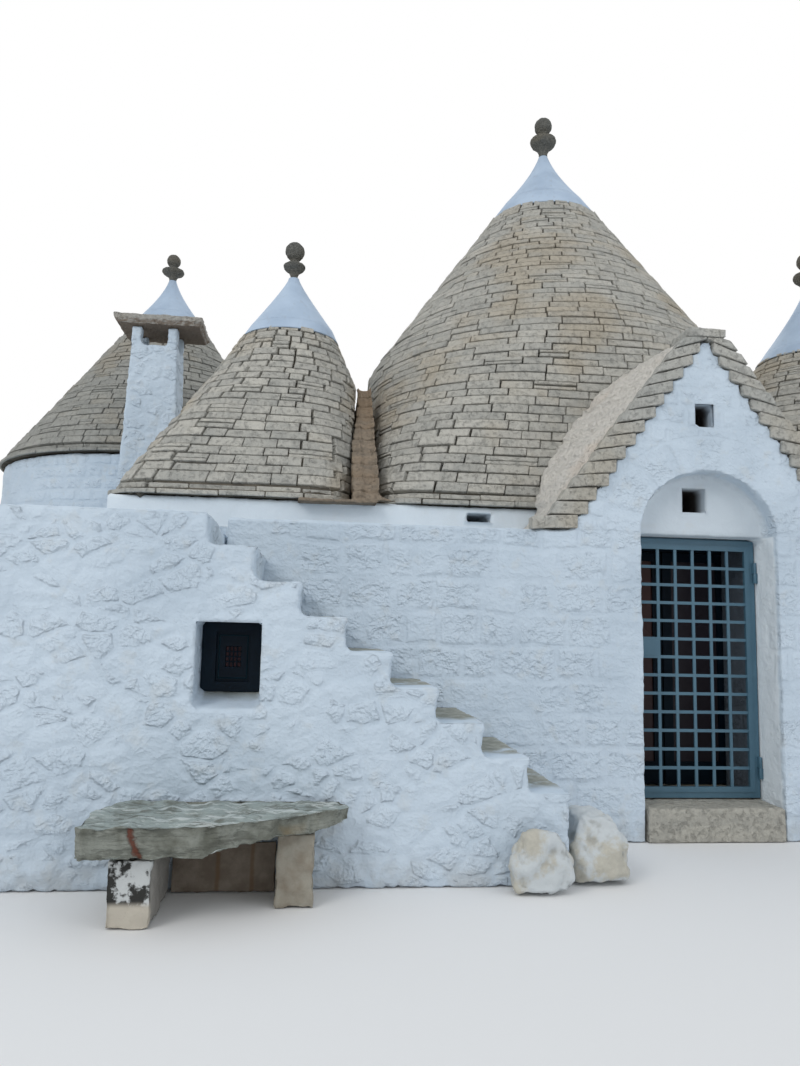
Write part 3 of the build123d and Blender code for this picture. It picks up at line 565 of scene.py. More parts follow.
# %% Recipes for materials
class Recipe(Web):
    """One material and the nodes that it is made of."""

    def __init__(self, name, **constants):
        self.material = bpy.data.materials.new(name)
        self.material.use_nodes = True
        self.tree = self.material.node_tree
        self.shader = self.tree.nodes["Principled BSDF"]
        for socket, value in constants.items():
            self.shader.inputs[socket.replace("_", " ")].default_value = value
        self.place = self.node("TexCoord").outputs["Object"]

    def stored(self, name):
        """A number that was stored on the mesh."""
        return Sum(self, self.node("Attribute", {"attribute_name": name}).outputs["Fac"])

    def facing_up(self):
        """How far the surface looks up, from -1 to 1."""
        return self.xyz(self.node("NewGeometry").outputs["True Normal"])[2]

    def blend(self, share, first, second):
        """Blend of two colours; share 0 gives the first and 1 the second."""
        node = self.node("Mix", {"data_type": "RGBA"})
        sockets = (node.inputs[0], node.inputs[6], node.inputs[7])
        for socket, value in zip(sockets, (share, first, second)):
            self.feed(socket, (*value, 1.0) if isinstance(value, tuple) else value)
        return node.outputs[2]

    def finish(self, colour, roughness=None, height=None, depth=0.004):
        """Feeds the shader's colour, roughness and bump, and gives the material."""
        self.feed(self.shader.inputs["Base Color"], colour)
        if roughness is not None:
            self.feed(self.shader.inputs["Roughness"], roughness)
        if height is not None:
            bump = self.node("Bump", {}, {"Height": height, "Distance": depth})
            self.feed(self.shader.inputs["Normal"], bump.outputs[0])
        return self.material


def paint(piece, material):
    """Gives a piece or a CAD node one material."""
    piece.data.materials.clear()
    piece.data.materials.append(material)


print("recipes ready")

# %% [markdown]
# ## Limewash
# The walls wear many coats of bluish white wash. It is never one white: old joints stay a
# little darker, the foot of the wall is splashed, and thin coats show warmer stone. The
# bump has two scales, flakes of old wash with sharp rims and fine grit. Joints and rough
# blocks come from one pattern of the masonry that is used twice. The relief tree below
# moves the wall's points by it and stores where each point was before. The recipe works it
# out again at that stored place, for every spot that is seen, so that paint and relief agree.

# %% Pattern of the masonry
WALL_TOP, EAVE_Z = 2.35, 2.6
ARCH_HALF, ARCH_RISE, ARCH_BAND, ARCH_BEHIND = 0.545, 0.49, 1.62, 0.5
RUBBLE_SIZE, RUBBLE_FLATNESS, RUBBLE_SHAKE = 0.19, (1.0, 1.0, 1.45), 0.16
BLOCK_LENGTH, COURSE_HEIGHT, FINER_UP = 0.34, 0.25, 0.38
WANDER_SCALE, COURSE_WANDER = 2.6, 0.50
ROW_SHIFT, FIRST_BLOCK, FAN_SCALE = 17.37, 21.9, 0.5
RAGGED, RUBBLE_RAGGED = 0.05, 4.4


def rubble_pattern(w, at):
    """Rubble: how far the nearest joint is, and a random tone for each stone."""
    shake = w.scaled(w.drift(WANDER_SCALE, detail=2.0, at=at), RUBBLE_SHAKE)
    shaken = w.moved(w.scaled(at, RUBBLE_FLATNESS), shake)
    scale = 1.0 / RUBBLE_SIZE
    tone = w.cells(scale, "F1", at=shaken, output="Color").socket
    return w.cells(scale, "DISTANCE_TO_EDGE", at=shaken), w.xyz(tone)[0]


def block_pattern(w, at):
    """Squared blocks: how far the nearest joint is, and a random tone for each block."""
    x, y, z = w.xyz(at)
    above = z.op("GREATER_THAN", WALL_TOP)
    finer = 1.0 - above * FINER_UP
    course_height, block_length = finer * COURSE_HEIGHT, finer * BLOCK_LENGTH
    course = z / course_height + w.noise(WANDER_SCALE, detail=3, at=at) * COURSE_WANDER
    row = course.op("FLOOR")
    part = course - row
    to_bed = part.op("MINIMUM", 1.0 - part) * course_height
    across, up = x / ARCH_HALF, (z - WALL_TOP) / ARCH_RISE
    reach = (across.op("POWER", 2.0) + up.op("POWER", 2.0)).op("SQRT")
    in_fan = reach.op("LESS_THAN", ARCH_BAND) * above * y.op("LESS_THAN", ARCH_BEHIND)
    off_fan = 1.0 - in_fan
    fan_length = (z - WALL_TOP).op("ARCTAN2", x) * FAN_SCALE
    fan_bed = (reach - ARCH_BAND).op("ABSOLUTE") * FAN_SCALE
    along = (x + y) * off_fan + fan_length * in_fan
    count = along / block_length + row * off_fan * ROW_SHIFT + FIRST_BLOCK
    spread = {"W": count, "Scale": 1.0, "Randomness": 1.0}
    facts = {"voronoi_dimensions": "1D", "feature": "DISTANCE_TO_EDGE"}
    to_side = Sum(w, w.node("TexVoronoi", facts, spread).outputs["Distance"]) * block_length
    tone = w.node("TexVoronoi", {"voronoi_dimensions": "1D"}, spread).outputs["Color"]
    return to_side.op("MINIMUM", to_bed * off_fan + fan_bed * in_fan), w.xyz(tone)[1]


def masonry_pattern(w, at):
    """Joints, roughness, tone and kind of masonry at a place on a wall."""
    edge, rubble_tone = rubble_pattern(w, at)
    border, block_tone = block_pattern(w, at)
    squared = w.stored("squared")
    rubble = 1.0 - squared
    ragged = (w.noise(8.0, detail=4, roughness=0.6, at=at) - 0.5) * RAGGED
    border = border + ragged
    edge = edge + ragged * RUBBLE_RAGGED
    tone = rubble_tone * rubble + block_tone * squared
    seen = w.noise(1.7, detail=3, at=at).ramp(0.40, 0.60) * 0.8 + 0.2
    joint = edge.ramp(0.10, 0.015) * rubble + border.ramp(0.030, 0.008) * seen * squared
    rough_block = border.ramp(0.022, 0.046) * (tone.ramp(0.15, 0.60) * 0.85 + 0.15)
    rough_rubble = edge.ramp(0.05, 0.16) * (tone.ramp(0.25, 0.60) * 0.8 + 0.1)
    rough = rough_rubble * rubble + rough_block * squared
    bumpy = 1.0 - w.stored("plain")
    return joint * bumpy, rough * bumpy, tone, squared


print("masonry: rubble of", RUBBLE_SIZE, "m, courses of", COURSE_HEIGHT, "m")

# %% [markdown]
# ## The coat itself
# Some places get their own colour. The reveals of the doorway and the strip under the eave
# carry painted light that lifts the shade falling on them, the niche is warmer, the passage
# and the vents carry painted shade, and the treads are worn bare by feet. Each place is a
# product of smooth steps along X, Y and Z, or a number stored on the wall.

# %% Limewash recipe
WASH, WASH_SHADE = (0.580, 0.668, 0.755), (0.43, 0.515, 0.60)
WASH_WARM, WASH_PAINTED_LIGHT = (0.56, 0.60, 0.62), (0.785, 0.84, 0.875)
VENT_PAINTED_SHADE, PASSAGE_PAINTED_SHADE = (0.060, 0.050, 0.045), (0.135, 0.165, 0.20)
SPLASH = (0.36, 0.34, 0.30)
BARE_TREAD, BARE_TREAD_PALE = (0.25, 0.26, 0.225), (0.37, 0.375, 0.335)
BELOW_TOP, ABOVE_TOP = (2.36, 2.34), (2.34, 2.36)
JAMB_WIDTH, JAMB_DEPTH = (0.60, 0.56), (0.02, 0.06, 0.70, 0.80)
EAVE_DEPTH, EAVE_HEIGHT = (0.60, 0.64, 1.3, 1.7), (2.34, 2.36, 2.64, 2.70)
NICHE_WIDTH, NICHE_DEPTH = (0.60, 0.50), (0.10, 0.16)
PASSAGE_WIDTH, PASSAGE_DEPTH = (0.68, 0.64), (0.31, 0.40, 1.0, 1.1)
VENT_MIDDLE, VENT_WIDTH, VENT_HEIGHT = -0.035, (0.13, 0.12), (2.50, 2.52, 3.42, 3.45)


def shades_by_place(r, colour):
    """Painted light on the jambs and the eave strip, a warm niche, painted shade in passage and
    vents.
    """
    x, y, z = r.xyz(r.place)
    beside, below = x.op("ABSOLUTE"), z.ramp(*BELOW_TOP)
    jamb = beside.ramp(*JAMB_WIDTH) * y.within(*JAMB_DEPTH) * below
    under_eave = y.within(*EAVE_DEPTH) * z.within(*EAVE_HEIGHT)
    # Painted light on the doorway's jambs and the strip under the eave, lifting the shade there.
    colour = r.blend(jamb.op("MAXIMUM", under_eave * 0.7) * 0.9, colour, WASH_PAINTED_LIGHT)
    niche = beside.ramp(*NICHE_WIDTH) * y.ramp(*NICHE_DEPTH) * z.ramp(*ABOVE_TOP)
    colour = r.blend(niche * 0.5, colour, WASH_WARM)
    passage = beside.ramp(*PASSAGE_WIDTH) * y.within(*PASSAGE_DEPTH) * below
    # Painted shade in the passage between the gate and the doors.
    colour = r.blend(passage, colour, PASSAGE_PAINTED_SHADE)
    # Painted shade deep inside the vents of the niche and the gable.
    vent = (x - VENT_MIDDLE).op("ABSOLUTE").ramp(*VENT_WIDTH) * z.within(*VENT_HEIGHT)
    deep_in = (y - z.ramp(3.0, 2.9) * 0.20).ramp(0.03, 0.20) * y.ramp(0.68, 0.62)
    return r.blend(vent * deep_in, colour, VENT_PAINTED_SHADE)


def limewash(name):
    """White wash over stone, crumpled on rough blocks and darker near the ground."""
    r = Recipe(name, Specular_IOR_Level=0.2)
    clouds = r.noise(1.1, detail=5, roughness=0.6)
    grit = r.noise(42.0, detail=3, roughness=0.65)
    swell = r.noise(7.5, detail=4, roughness=0.55)
    warped = r.moved(r.scaled(r.place, (1.0, 1.0, 1.25)), r.scaled(r.drift(6.0), 0.11))
    facets = r.cells(16.0, at=warped) * 1.1 + r.cells(40.0, at=warped) * 0.6
    rest = r.node("Attribute", {"attribute_name": "rest"}).outputs["Vector"]
    joint, rough, _, squared = masonry_pattern(r, rest)
    colour = r.blend(clouds.ramp(0.38, 0.72) * 0.6, WASH, WASH_SHADE)
    colour = r.blend(swell.ramp(0.55, 0.70) * 0.4, colour, WASH_WARM)
    colour = r.blend(joint * 0.12, colour, WASH_SHADE)
    # Painted shade in the hollows of the flakes on the rough blocks.
    colour = r.blend(facets.ramp(0.35, 0.05) * rough * 0.25, colour, WASH_SHADE)
    foot = r.xyz(r.place)[2].ramp(0.28, 0.0) * r.noise(5.0, detail=4).ramp(0.35, 0.65)
    colour = shades_by_place(r, r.blend(foot * 0.4, colour, SPLASH))
    bare = r.stored("bare") * r.noise(4.0, detail=5, roughness=0.6).ramp(0.30, 0.48)
    tread = r.blend(r.noise(14.0, detail=5).ramp(0.35, 0.7), BARE_TREAD, BARE_TREAD_PALE)
    colour = r.blend(bare, colour, tread)
    crumple = rough * r.noise(10.0, detail=4, roughness=0.6).ramp(0.28, 0.58)
    bumps = facets * (crumple * 0.60 + (1.0 - r.stored("plain")) * 0.20)
    height = bumps + grit * 0.12 + swell * 0.5 - (crumple + joint) * squared * 0.30
    return r.finish(colour, roughness=0.80 + grit * 0.12, height=height, depth=0.021)


limewash_coat = limewash("limewash_coat")
print("recipe:", limewash_coat.name)

# %% [markdown]
# ## Relief of the walls
# Under the wash there are two kinds of masonry. The wall that carries the stair is rubble:
# stones of no set shape, so a Voronoi pattern fits, where the distance to a cell's edge
# tells how near a joint is. The entrance wall and the gable are squared blocks in courses.
# Their courses come from the height, and the upright joints from a one-dimensional Voronoi
# pattern, which gives random widths that never repeat. Over the doorway the blocks stand
# round the arch like a fan, so there the angle takes the place of the length. The tree sinks
# the surface into the wall, never out of it, so the house keeps its size, and it stores the
# place that each point had before, under the name rest, for the wash.

# %% The masonry tree
def masonry_tree():
    """Tree that sinks joints, lumps and uneven stones into a netted wall."""
    t = Tree("masonry relief", joint_depth=0.008, lump_depth=0.014, rough_depth=0.007)
    t.store("rest", t.place, kind="FLOAT_VECTOR")
    joint, rough, tone, squared = masonry_pattern(t, t.place)
    lumps = t.noise(6.5, detail=4, roughness=0.6).ramp(0.30, 0.70)
    depth = (joint * t.size("joint_depth") + lumps * t.size("lump_depth") * 0.6
             + tone * t.size("lump_depth") * 0.4
             + rough * (squared * 1.6 - 0.6) * t.size("rough_depth"))
    t.move(depth.op("MAXIMUM", 0.0) * t.stored("skin") * -1.0)
    t.end(smooth=True)
    return t


masonry = masonry_tree()
print("tree:", masonry.tree.name, "with", len(masonry.tree.nodes), "nodes")

# %% [markdown]
# ## The walls
# The limewashed solids that belong together are welded and netted as one body, so no seam
# shows where one wall meets the next: the stair's walls, the entrance front with the gable
# over it, and everything behind, which gets a coarser net. A net rounds the edges of small
# openings away, so the points next to them are drawn back to their straight edges. The
# rooms stay as they are: a number named skin is 1 on the outside and 0 inside a room. The
# rooms are the boxes that the record keeps free. After the relief, the flat insides are
# dissolved back into a few large faces, which saves most of the triangles.

# %% Where walls have relief
ROOM_NAMES = ("room", "dome", "alcove", "arch_", "_arch", "embrasure", "passage", "flue")
ROOM_MARGIN = 0.09
ROOMS = [
    [np.array(corner) for corner in opening["box_m"]]
    for opening in frame["record"]["physics"]["openings"]
    if any(word in opening["name"] for word in ROOM_NAMES) and opening["name"] != "arch_niche"
]
# the vents in the niche, the gable and the eave wall, and the small window
EDGED_OPENINGS = [
    (np.array(low), np.array(high))
    for low, high in (
        ((-0.142, 0.18, 2.542), (0.059, 2.0, 2.741)),
        ((-0.105, 0.0, 3.210), (0.050, 2.0, 3.400)),
        ((-1.830, 0.66, 2.465), (-1.620, 2.0, 2.540)),
        ((-3.800, -1.0, 1.125), (-3.405, -0.68, 1.565)),
    )
]
SOFT_SILL_UNDER = 2.0
EDGE_FADE, EDGE_SKIN, NEAR_EDGE = 0.05, 0.15, 0.6
DOORWAY_HALF, DOORWAY_TOP, DOORWAY_DEPTH, DOORWAY_FADE = 0.6, 2.42, 0.30, 0.15
REVEAL_HALF, JAMB_FRONT, JAMB_FOOT, JAMB_PLAIN = 0.56, 0.04, 0.25, 0.65
NICHE_FRONT, NICHE_FOOT, NICHE_TOP, BAND_FRONT = 0.16, 2.33, 2.9, 0.62
STAIR_LEFT, STAIR_RIGHT, STAIR_TOP, STAIR_BACK = -3.757, -1.44, 2.15, 0.02
TREAD_FRONT, LOOKING_UP = -0.85, 0.6
SQUARED_FROM_Y = -0.35


def inside_rooms(points):
    """True for each point on the inside of a room."""
    inside = np.zeros(len(points), bool)
    for low, high in ROOMS:
        low, high = low - ROOM_MARGIN, high + ROOM_MARGIN
        low[2] = -1.0
        inside |= np.all((points > low) & (points < high), axis=1)
    return inside


def sharpen_openings(wall, reach):
    """Draws the rounded net out to the straight edges of the small openings.

    The window's sill is left soft, as on the house.
    """
    points = points_of(wall)
    for low, high in EDGED_OPENINGS:
        around = np.all((points > low - reach) & (points < high + reach), axis=1)
        if low[2] < SOFT_SILL_UNDER:
            around &= points[:, 2] > low[2] + reach
        for axis in (0, 2):
            for side in (low[axis], high[axis]):
                near = around & (np.abs(points[:, axis] - side) < reach)
                points[near, axis] = side
        rim = around & (np.abs(points[:, 1] - low[1]) < reach)
        points[rim, 1] = low[1]
    write_points(wall, points)


def relief_share(points):
    """1 where a wall has its full relief, less beside openings and 0 in the rooms."""
    x, y, z = points.T
    doorway = (np.abs(x) < DOORWAY_HALF) & (z < DOORWAY_TOP)
    share = np.where(inside_rooms(points), 0.0, 1.0)
    share *= np.where(doorway, np.clip((DOORWAY_DEPTH - y) / DOORWAY_FADE, 0, 1), 1)
    for low, high in EDGED_OPENINGS:
        beside = np.maximum(low[[0, 2]] - points[:, [0, 2]], points[:, [0, 2]] - high[[0, 2]])
        level = (y > low[1] - EDGE_FADE) & (y < high[1])
        share *= np.where(level, np.clip(beside.max(axis=1) / EDGE_FADE, EDGE_SKIN, 1), 1)
    return share


def wall_numbers(points, normals):
    """Numbers for each point of a wall that tell the relief and the wash where they are."""
    x, y, z = points.T
    aside, up = np.abs(x), normals[:, 2]
    in_niche = (aside < REVEAL_HALF) & (y > NICHE_FRONT) & (z > NICHE_FOOT) & (z < NICHE_TOP)
    on_band = (y > BAND_FRONT) & (z > WALL_TOP + 0.01) & (z < EAVE_Z + 0.02)
    on_jamb = (aside < REVEAL_HALF) & (y > JAMB_FRONT) & (z < WALL_TOP) & (z > JAMB_FOOT)
    plain = in_niche | (on_band & (aside > REVEAL_HALF)) | (up > LOOKING_UP)
    on_stair = (x > STAIR_LEFT) & (x < STAIR_RIGHT + 0.05) & (y < STAIR_BACK) & (z < STAIR_TOP)
    trodden = np.clip((up - LOOKING_UP) * 4, 0, 1) * np.clip((y - TREAD_FRONT) * 6, 0, 1)
    return {
        "skin": relief_share(points),
        "squared": np.where(y > SQUARED_FROM_Y, 1.0, 0.0),
        "plain": np.where(plain, 1.0, np.where(on_jamb, JAMB_PLAIN, 0.0)),
        "bare": trodden * on_stair,
    }


print("rooms kept smooth:", len(ROOMS))

# %% [markdown]
# ## Netting the walls
# Every wall goes through the same steps, so one function takes them all. The voxel of each
# body is as fine as its nearness to the viewer asks for, because halving it makes four
# times as many faces.

# %% The three bodies of wall
STAIR_NET, ENTRANCE_NET, REAR_NET = 0.024, 0.028, 0.06
REAR_LUMPS = 0.026
FLAT, GROUND_SKIM = math.radians(1.0), 0.005
STAIR_WALLS = ("flank_wall", "stair_core", "stair_treads")
ENTRANCE_WALLS = (
    "entrance_wall_left", "entrance_wall_right", "main_wall_front_left",
    "main_wall_front_right", "door_lintel", "small_wall_front", "end_wall_front",
    "gable_wall",
)
REAR_WALLS = (
    "left_wall", "terrace_deck", "small_wall_left", "small_wall_right", "small_wall_rear",
    "main_wall_left", "main_wall_right", "main_wall_rear", "back_wall_front",
    "back_wall_right", "back_wall_rear", "back_drum", "end_wall_right", "end_wall_rear",
)


def flatten_insides(wall):
    """Joins the flat faces inside the rooms and on the ground."""
    shape = bmesh.new()
    shape.from_mesh(wall.data)
    inside = inside_rooms(np.array([vertex.co for vertex in shape.verts]))
    flat = [v for v, within in zip(shape.verts, inside) if within or v.co.z < GROUND_SKIM]
    chosen = set(flat)
    edges = [e for e in shape.edges if e.verts[0] in chosen and e.verts[1] in chosen]
    bmesh.ops.dissolve_limit(shape, angle_limit=FLAT, verts=flat, edges=edges,
                             use_dissolve_boundaries=False)
    shape.to_mesh(wall.data)
    shape.free()


def build_wall(name, voxel, nodes, **sizes):
    """One body of limewashed masonry in place of several solids."""
    wall = netted(name, voxel, *nodes)
    sharpen_openings(wall, voxel * NEAR_EDGE)
    for label, values in wall_numbers(points_of(wall), normals_of(wall)).items():
        write_number(wall, label, values)
    masonry.run(wall, limewash_coat, **sizes)
    flatten_insides(wall)
    place(wall, "whitewashed_rubble", *nodes)


build_wall("stair_walls", STAIR_NET, STAIR_WALLS)
build_wall("entrance_walls", ENTRANCE_NET, ENTRANCE_WALLS)
build_wall("rear_walls", REAR_NET, REAR_WALLS, lump_depth=REAR_LUMPS)

# %% [markdown]
# ## Seam of the terrace
# The relief sinks both the flank wall and the terrace behind it, which would leave a dark
# groove between them. On the house many coats of wash have filled it, and here a plain box
# of wash does, a centimetre under the tops of both.

# %% Wash in the seam
SEAM_HALF, SEAM_DROP = 0.07, 0.010


def box_piece(name, low, high):
    """A plain box between two corners."""
    shape = bmesh.new()
    plan = ((low[0], low[1]), (high[0], low[1]), (high[0], high[1]), (low[0], high[1]))
    skin(shape, [[(x, y, z) for x, y in plan] for z in (low[2], high[2])])
    return solid_piece(name, shape)


flank_low, flank_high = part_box("flank_wall")
seam_low = (flank_low.x + SEAM_DROP, flank_high.y - SEAM_HALF, SEAM_DROP)
seam_high = (STAIR_LEFT - SEAM_HALF, flank_high.y + SEAM_HALF, flank_high.z - SEAM_DROP)
seam = box_piece("terrace_seam_wash", seam_low, seam_high)
paint(seam, limewash_coat)
place(seam, "whitewashed_rubble")

# %% [markdown]
# ## Stones of the cones
# A trullo's cone is laid dry: flat limestone slabs in level rings, each ring a little
# smaller than the one below. Every slab has its own length and shade, and dark gaps show
# between them. Python lays out one flat strip of faces per slab on the cone, with the gaps
# left open. A Geometry Nodes tree turns every strip into a stone: it gives the strip a
# shade, pulls it out by its own amount, closes the back and shakes the corners, and a bevel
# eases the edges. The cone starts as a rounded square on the walls and ends as a circle, so
# the rings follow a rounded rectangle whose corners grow. The finish is weathered
# limestone: grey and pale by turns, ochre in wide patches and speckled with dark lichen.

# %% Stone recipes
SLAB_PALE = (0.55, 0.53, 0.475)
SLAB_GREY = (0.355, 0.352, 0.326)
SLAB_OCHRE = (0.42, 0.355, 0.26)
SLAB_LICHEN = (0.15, 0.147, 0.135)


def slab_stone(name, pale, grey, ochre, grain=1.0, under=None, lichen=1.0):
    """Weathered limestone with a shade for each stone, mottling and dark lichen."""
    r = Recipe(name, Specular_IOR_Level=0.25)
    shade = r.stored("shade")
    wide = r.noise(0.75, detail=4, roughness=0.6)
    mottle = r.noise(9.0 * grain, detail=6, roughness=0.65)
    grit = r.noise(55.0 * grain, detail=3, roughness=0.7)
    colour = r.blend(shade * 0.55 + mottle.ramp(0.30, 0.62) * 0.45, grey, pale)
    colour = r.blend((wide + shade * 0.10).ramp(0.54, 0.72) * 0.6, colour, ochre)
    colour = r.blend(mottle.ramp(0.55, 0.80) * 0.45, colour, grey)
    colour = r.blend(grit.ramp(0.56, 0.72) * 0.42 * lichen, colour, SLAB_LICHEN)
    spots = r.noise(24.0 * grain, detail=5, roughness=0.72)
    colour = r.blend(spots.ramp(0.56, 0.68) * 0.30 * lichen, colour, SLAB_LICHEN)
    # Faces that look down take the colour under: painted shade.
    if under:
        colour = r.blend(r.facing_up().ramp(-0.3, -0.7), colour, under)
    height = mottle * 1.3 + grit * 0.6 + r.cells(16.0 * grain) * 0.6 - spots.ramp(0.5, 0.7) * 0.4
    return r.finish(colour, roughness=0.78 + grit * 0.18, height=height, depth=0.020)


cone_stone = slab_stone("cone_stone", SLAB_PALE, SLAB_GREY, SLAB_OCHRE)
# The back cone gets a darker copy of the cone stone: painted shade.
shaded_stone = slab_stone("painted_shade_cone_stone", (0.40, 0.395, 0.362), (0.285, 0.287, 0.268),
                          (0.34, 0.30, 0.235))
shadow = Recipe("gap_shadow", Roughness=1.0, Specular_IOR_Level=0.0)
gap_shadow = shadow.finish(
    shadow.blend(shadow.noise(6.0).ramp(0.3, 0.7), (0.085, 0.077, 0.066), (0.15, 0.135, 0.11))
)
print("recipes:", cone_stone.name, gap_shadow.name)

# %% The stone tree
STONE_WELD = 0.0002


def stone_tree():
    """Tree that turns each flat patch into a rough stone."""
    t = Tree("stones from patches", depth=0.07, unevenness=0.016, wobble=0.006,
             wobble_size=11.0, seed=1)
    patch = t.node("GeometryNodeInputMeshIsland").outputs["Island Index"]

    def lot(more):
        """A random number from 0 to 1 for each patch."""
        sockets = {2: 0.0, 3: 1.0, "ID": patch, "Seed": t.size("seed") + more}
        return Sum(t, t.node("FunctionNodeRandomValue", {}, sockets).outputs[1])

    t.store("shade", lot(0.0), "FACE")
    t.store("pull", t.size("depth") - lot(1.0) * t.size("unevenness"), "FACE")
    back = t.node("GeometryNodeFlipFaces", {}, {0: t.geometry}).outputs[0]
    t.step("ExtrudeMesh", {"mode": "FACES"}, Offset_Scale=t.stored("pull"), Individual=False)
    both = t.node("GeometryNodeJoinGeometry")
    for part in (back, t.geometry):
        t.tree.links.new(part, both.inputs[0])
    t.geometry = both.outputs[0]
    t.step("MergeByDistance", Distance=STONE_WELD)
    shake = t.moved(t.drift(t.size("wobble_size")), (-0.5, -0.5, -0.5))
    t.step("SetPosition", Offset=t.scaled(shake, t.size("wobble") * 2.0))
    t.end(smooth=False)
    return t


stones = stone_tree()
print("tree:", stones.tree.name)

# %% [markdown]
# ## Courses
# A real mason picks slabs of a like height for one course and lets their joints miss those
# of the course below. Here the heights vary a little, the joints of each course start at a
# random place, some slabs are split into two thin ones, and two thin courses step out at
# the eave. All of it is drawn from one random source with a fixed start, so the roof is the
# same every time.

# %% Rings of slabs
COURSE_AT_EAVE, COURSE_AT_CROWN = 0.090, 0.066
COURSE_SPREAD, LEAST_COURSE = (0.88, 1.14), 0.6
GAP, GAP_OVER, GAP_UNDER = 0.008, (0.1, 0.8), (0.2, 1.3)
JOINT_SHIFT, LEAN = 0.30, 0.5
STONE_DEPTH, STONE_SINK = 0.07, 0.006
STONE_EDGE = 0.005
SLOPE_SHARE = 0.75
MOST_STONE_TURN = 0.30
STONE_STEP = 0.20
THIN_PAIR_SHARE, THIN_SPLIT = 0.10, (0.4, 0.6)
EAVE_COURSES = (0.048, 0.052)
EAVE_STEP, EAVE_LENGTHS = 0.022, 1.25
CORNER_POINTS = 24


def ring_outline(section, inset):
    """Points round a rounded rectangle, starting at the middle of the rear side."""
    left, right, front, rear, corner = section
    left, right, front, rear = left + inset, right - inset, front + inset, rear - inset
    corner = max(corner - inset, 0.01)
    points = [((left + right) / 2, rear)]
    corners = (
        (left + corner, rear - corner, 90),
        (left + corner, front + corner, 180),
        (right - corner, front + corner, 270),
        (right - corner, rear - corner, 360),
    )
    for x, y, start in corners:
        for angle in np.radians(np.linspace(start, start + 90, CORNER_POINTS)):
            points.append((x + corner * math.cos(angle), y + corner * math.sin(angle)))
    points.append(points[0])
    return np.array(points)


def spots(outline, shares):
    """Points at given shares of the way round an outline."""
    runs = np.hypot(*np.diff(outline, axis=0).T)
    way = np.concatenate(([0], np.cumsum(runs)))
    at = np.asarray(shares) * way[-1]
    return np.stack((np.interp(at, way, outline[:, 0]), np.interp(at, way, outline[:, 1])), 1)


def length_round(outline):
    """How long the way round an outline is."""
    return np.hypot(*np.diff(outline, axis=0).T).sum()


def section_at(sections, z):
    """Rounded rectangle of a cone at a height, between the sections that it is made of."""
    heights = [section[0] for section in sections]
    return [np.interp(z, heights, [section[k] for section in sections]) for k in range(1, 6)]


def round_section(z, centre, radius):
    """A circle, written as a rounded rectangle at a height."""
    x, y = centre
    return (z, x - radius, x + radius, y - radius, y + radius, radius)


def random_joints(count, rng):
    """Shares of the way round a course where its slabs meet."""
    shifts = rng.uniform(-JOINT_SHIFT, JOINT_SHIFT, count)
    joints = np.sort((np.arange(count) + shifts) / count)
    return np.append(joints, joints[0] + 1.0) + rng.uniform()


def slab_patches(below, above, joints, z, height, may_split, rng):
    """Flat patches of one slab, or of the two thin ones that share its place."""
    around = length_round(below)
    gap = GAP / 2 / around
    start, stop = joints
    steps = max(1, round((stop - start) * around / STONE_STEP))
    shares = np.linspace(start + gap, stop - gap, steps + 1) % 1.0
    lean = rng.uniform(-LEAN, LEAN) * gap
    bottom, head = spots(below, shares), spots(above, (shares + lean) % 1.0)
    beds = [0.0, 1.0]
    if may_split and rng.uniform() < THIN_PAIR_SHARE:
        beds = [0.0, rng.uniform(*THIN_SPLIT), 1.0]
    for low_bed, high_bed in zip(beds[:-1], beds[1:]):
        lower = bottom + (head - bottom) * low_bed
        upper = bottom + (head - bottom) * high_bed
        z_low = z + height * low_bed + rng.uniform(*GAP_OVER) * GAP
        z_high = z + height * high_bed - rng.uniform(*GAP_UNDER) * GAP
        yield [(*p, z_low) for p in lower], [(*p, z_high) for p in upper]


def lay_courses(sections, mean_length, top, rng):
    """Flat patches of all the slabs of one cone: their lower and their upper points."""
    foot = sections[0][0]
    patches, z, number = [], foot, 0
    while z < top - 0.5 * COURSE_AT_CROWN:
        eave = number < len(EAVE_COURSES)
        share = (z - foot) / (top - foot)
        course = COURSE_AT_EAVE + share * (COURSE_AT_CROWN - COURSE_AT_EAVE)
        height = EAVE_COURSES[number] if eave else course * rng.uniform(*COURSE_SPREAD)
        if top - (z + height) < LEAST_COURSE * course:
            height = top - z
        low = section_at(sections, z)
        high = low if eave else section_at(sections, z + height * SLOPE_SHARE)
        inset = STONE_DEPTH + (EAVE_STEP * number if eave else STONE_SINK)
        below, above = ring_outline(low, inset), ring_outline(high, inset)
        length = mean_length * (EAVE_LENGTHS if eave else 1.0)
        count = round(length_round(below) / length)
        joints = random_joints(max(count, math.ceil(2 * math.pi / MOST_STONE_TURN)), rng)
        for pair in zip(joints[:-1], joints[1:]):
            patches += slab_patches(below, above, pair, z, height, not eave, rng)
        z += height
        number += 1
    return patches


def patches_piece(name, patches):
    """A piece of separate flat patches, each a strip between a lower and an upper line."""
    corners, faces = [], []
    for lower, upper in patches:
        start, steps = len(corners), len(lower)
        corners += [tuple(map(float, corner)) for corner in (*lower, *upper)]
        faces += [(start + k, start + k + 1, start + steps + k + 1, start + steps + k)
                  for k in range(steps - 1)]
    mesh = bpy.data.meshes.new(name)
    mesh.from_pydata(corners, [], faces)
    return add_piece(name, mesh)


print("courses ready")

# %% [markdown]
# ## The four roofs
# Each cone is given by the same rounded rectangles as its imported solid, by the mean length
# of its slabs and by how far the plaster comes down from the crown. Behind the slabs stands
# a dark core, so that a gap between two stones shows shadow and not the room. The core is
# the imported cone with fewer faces, drawn in and down a little.

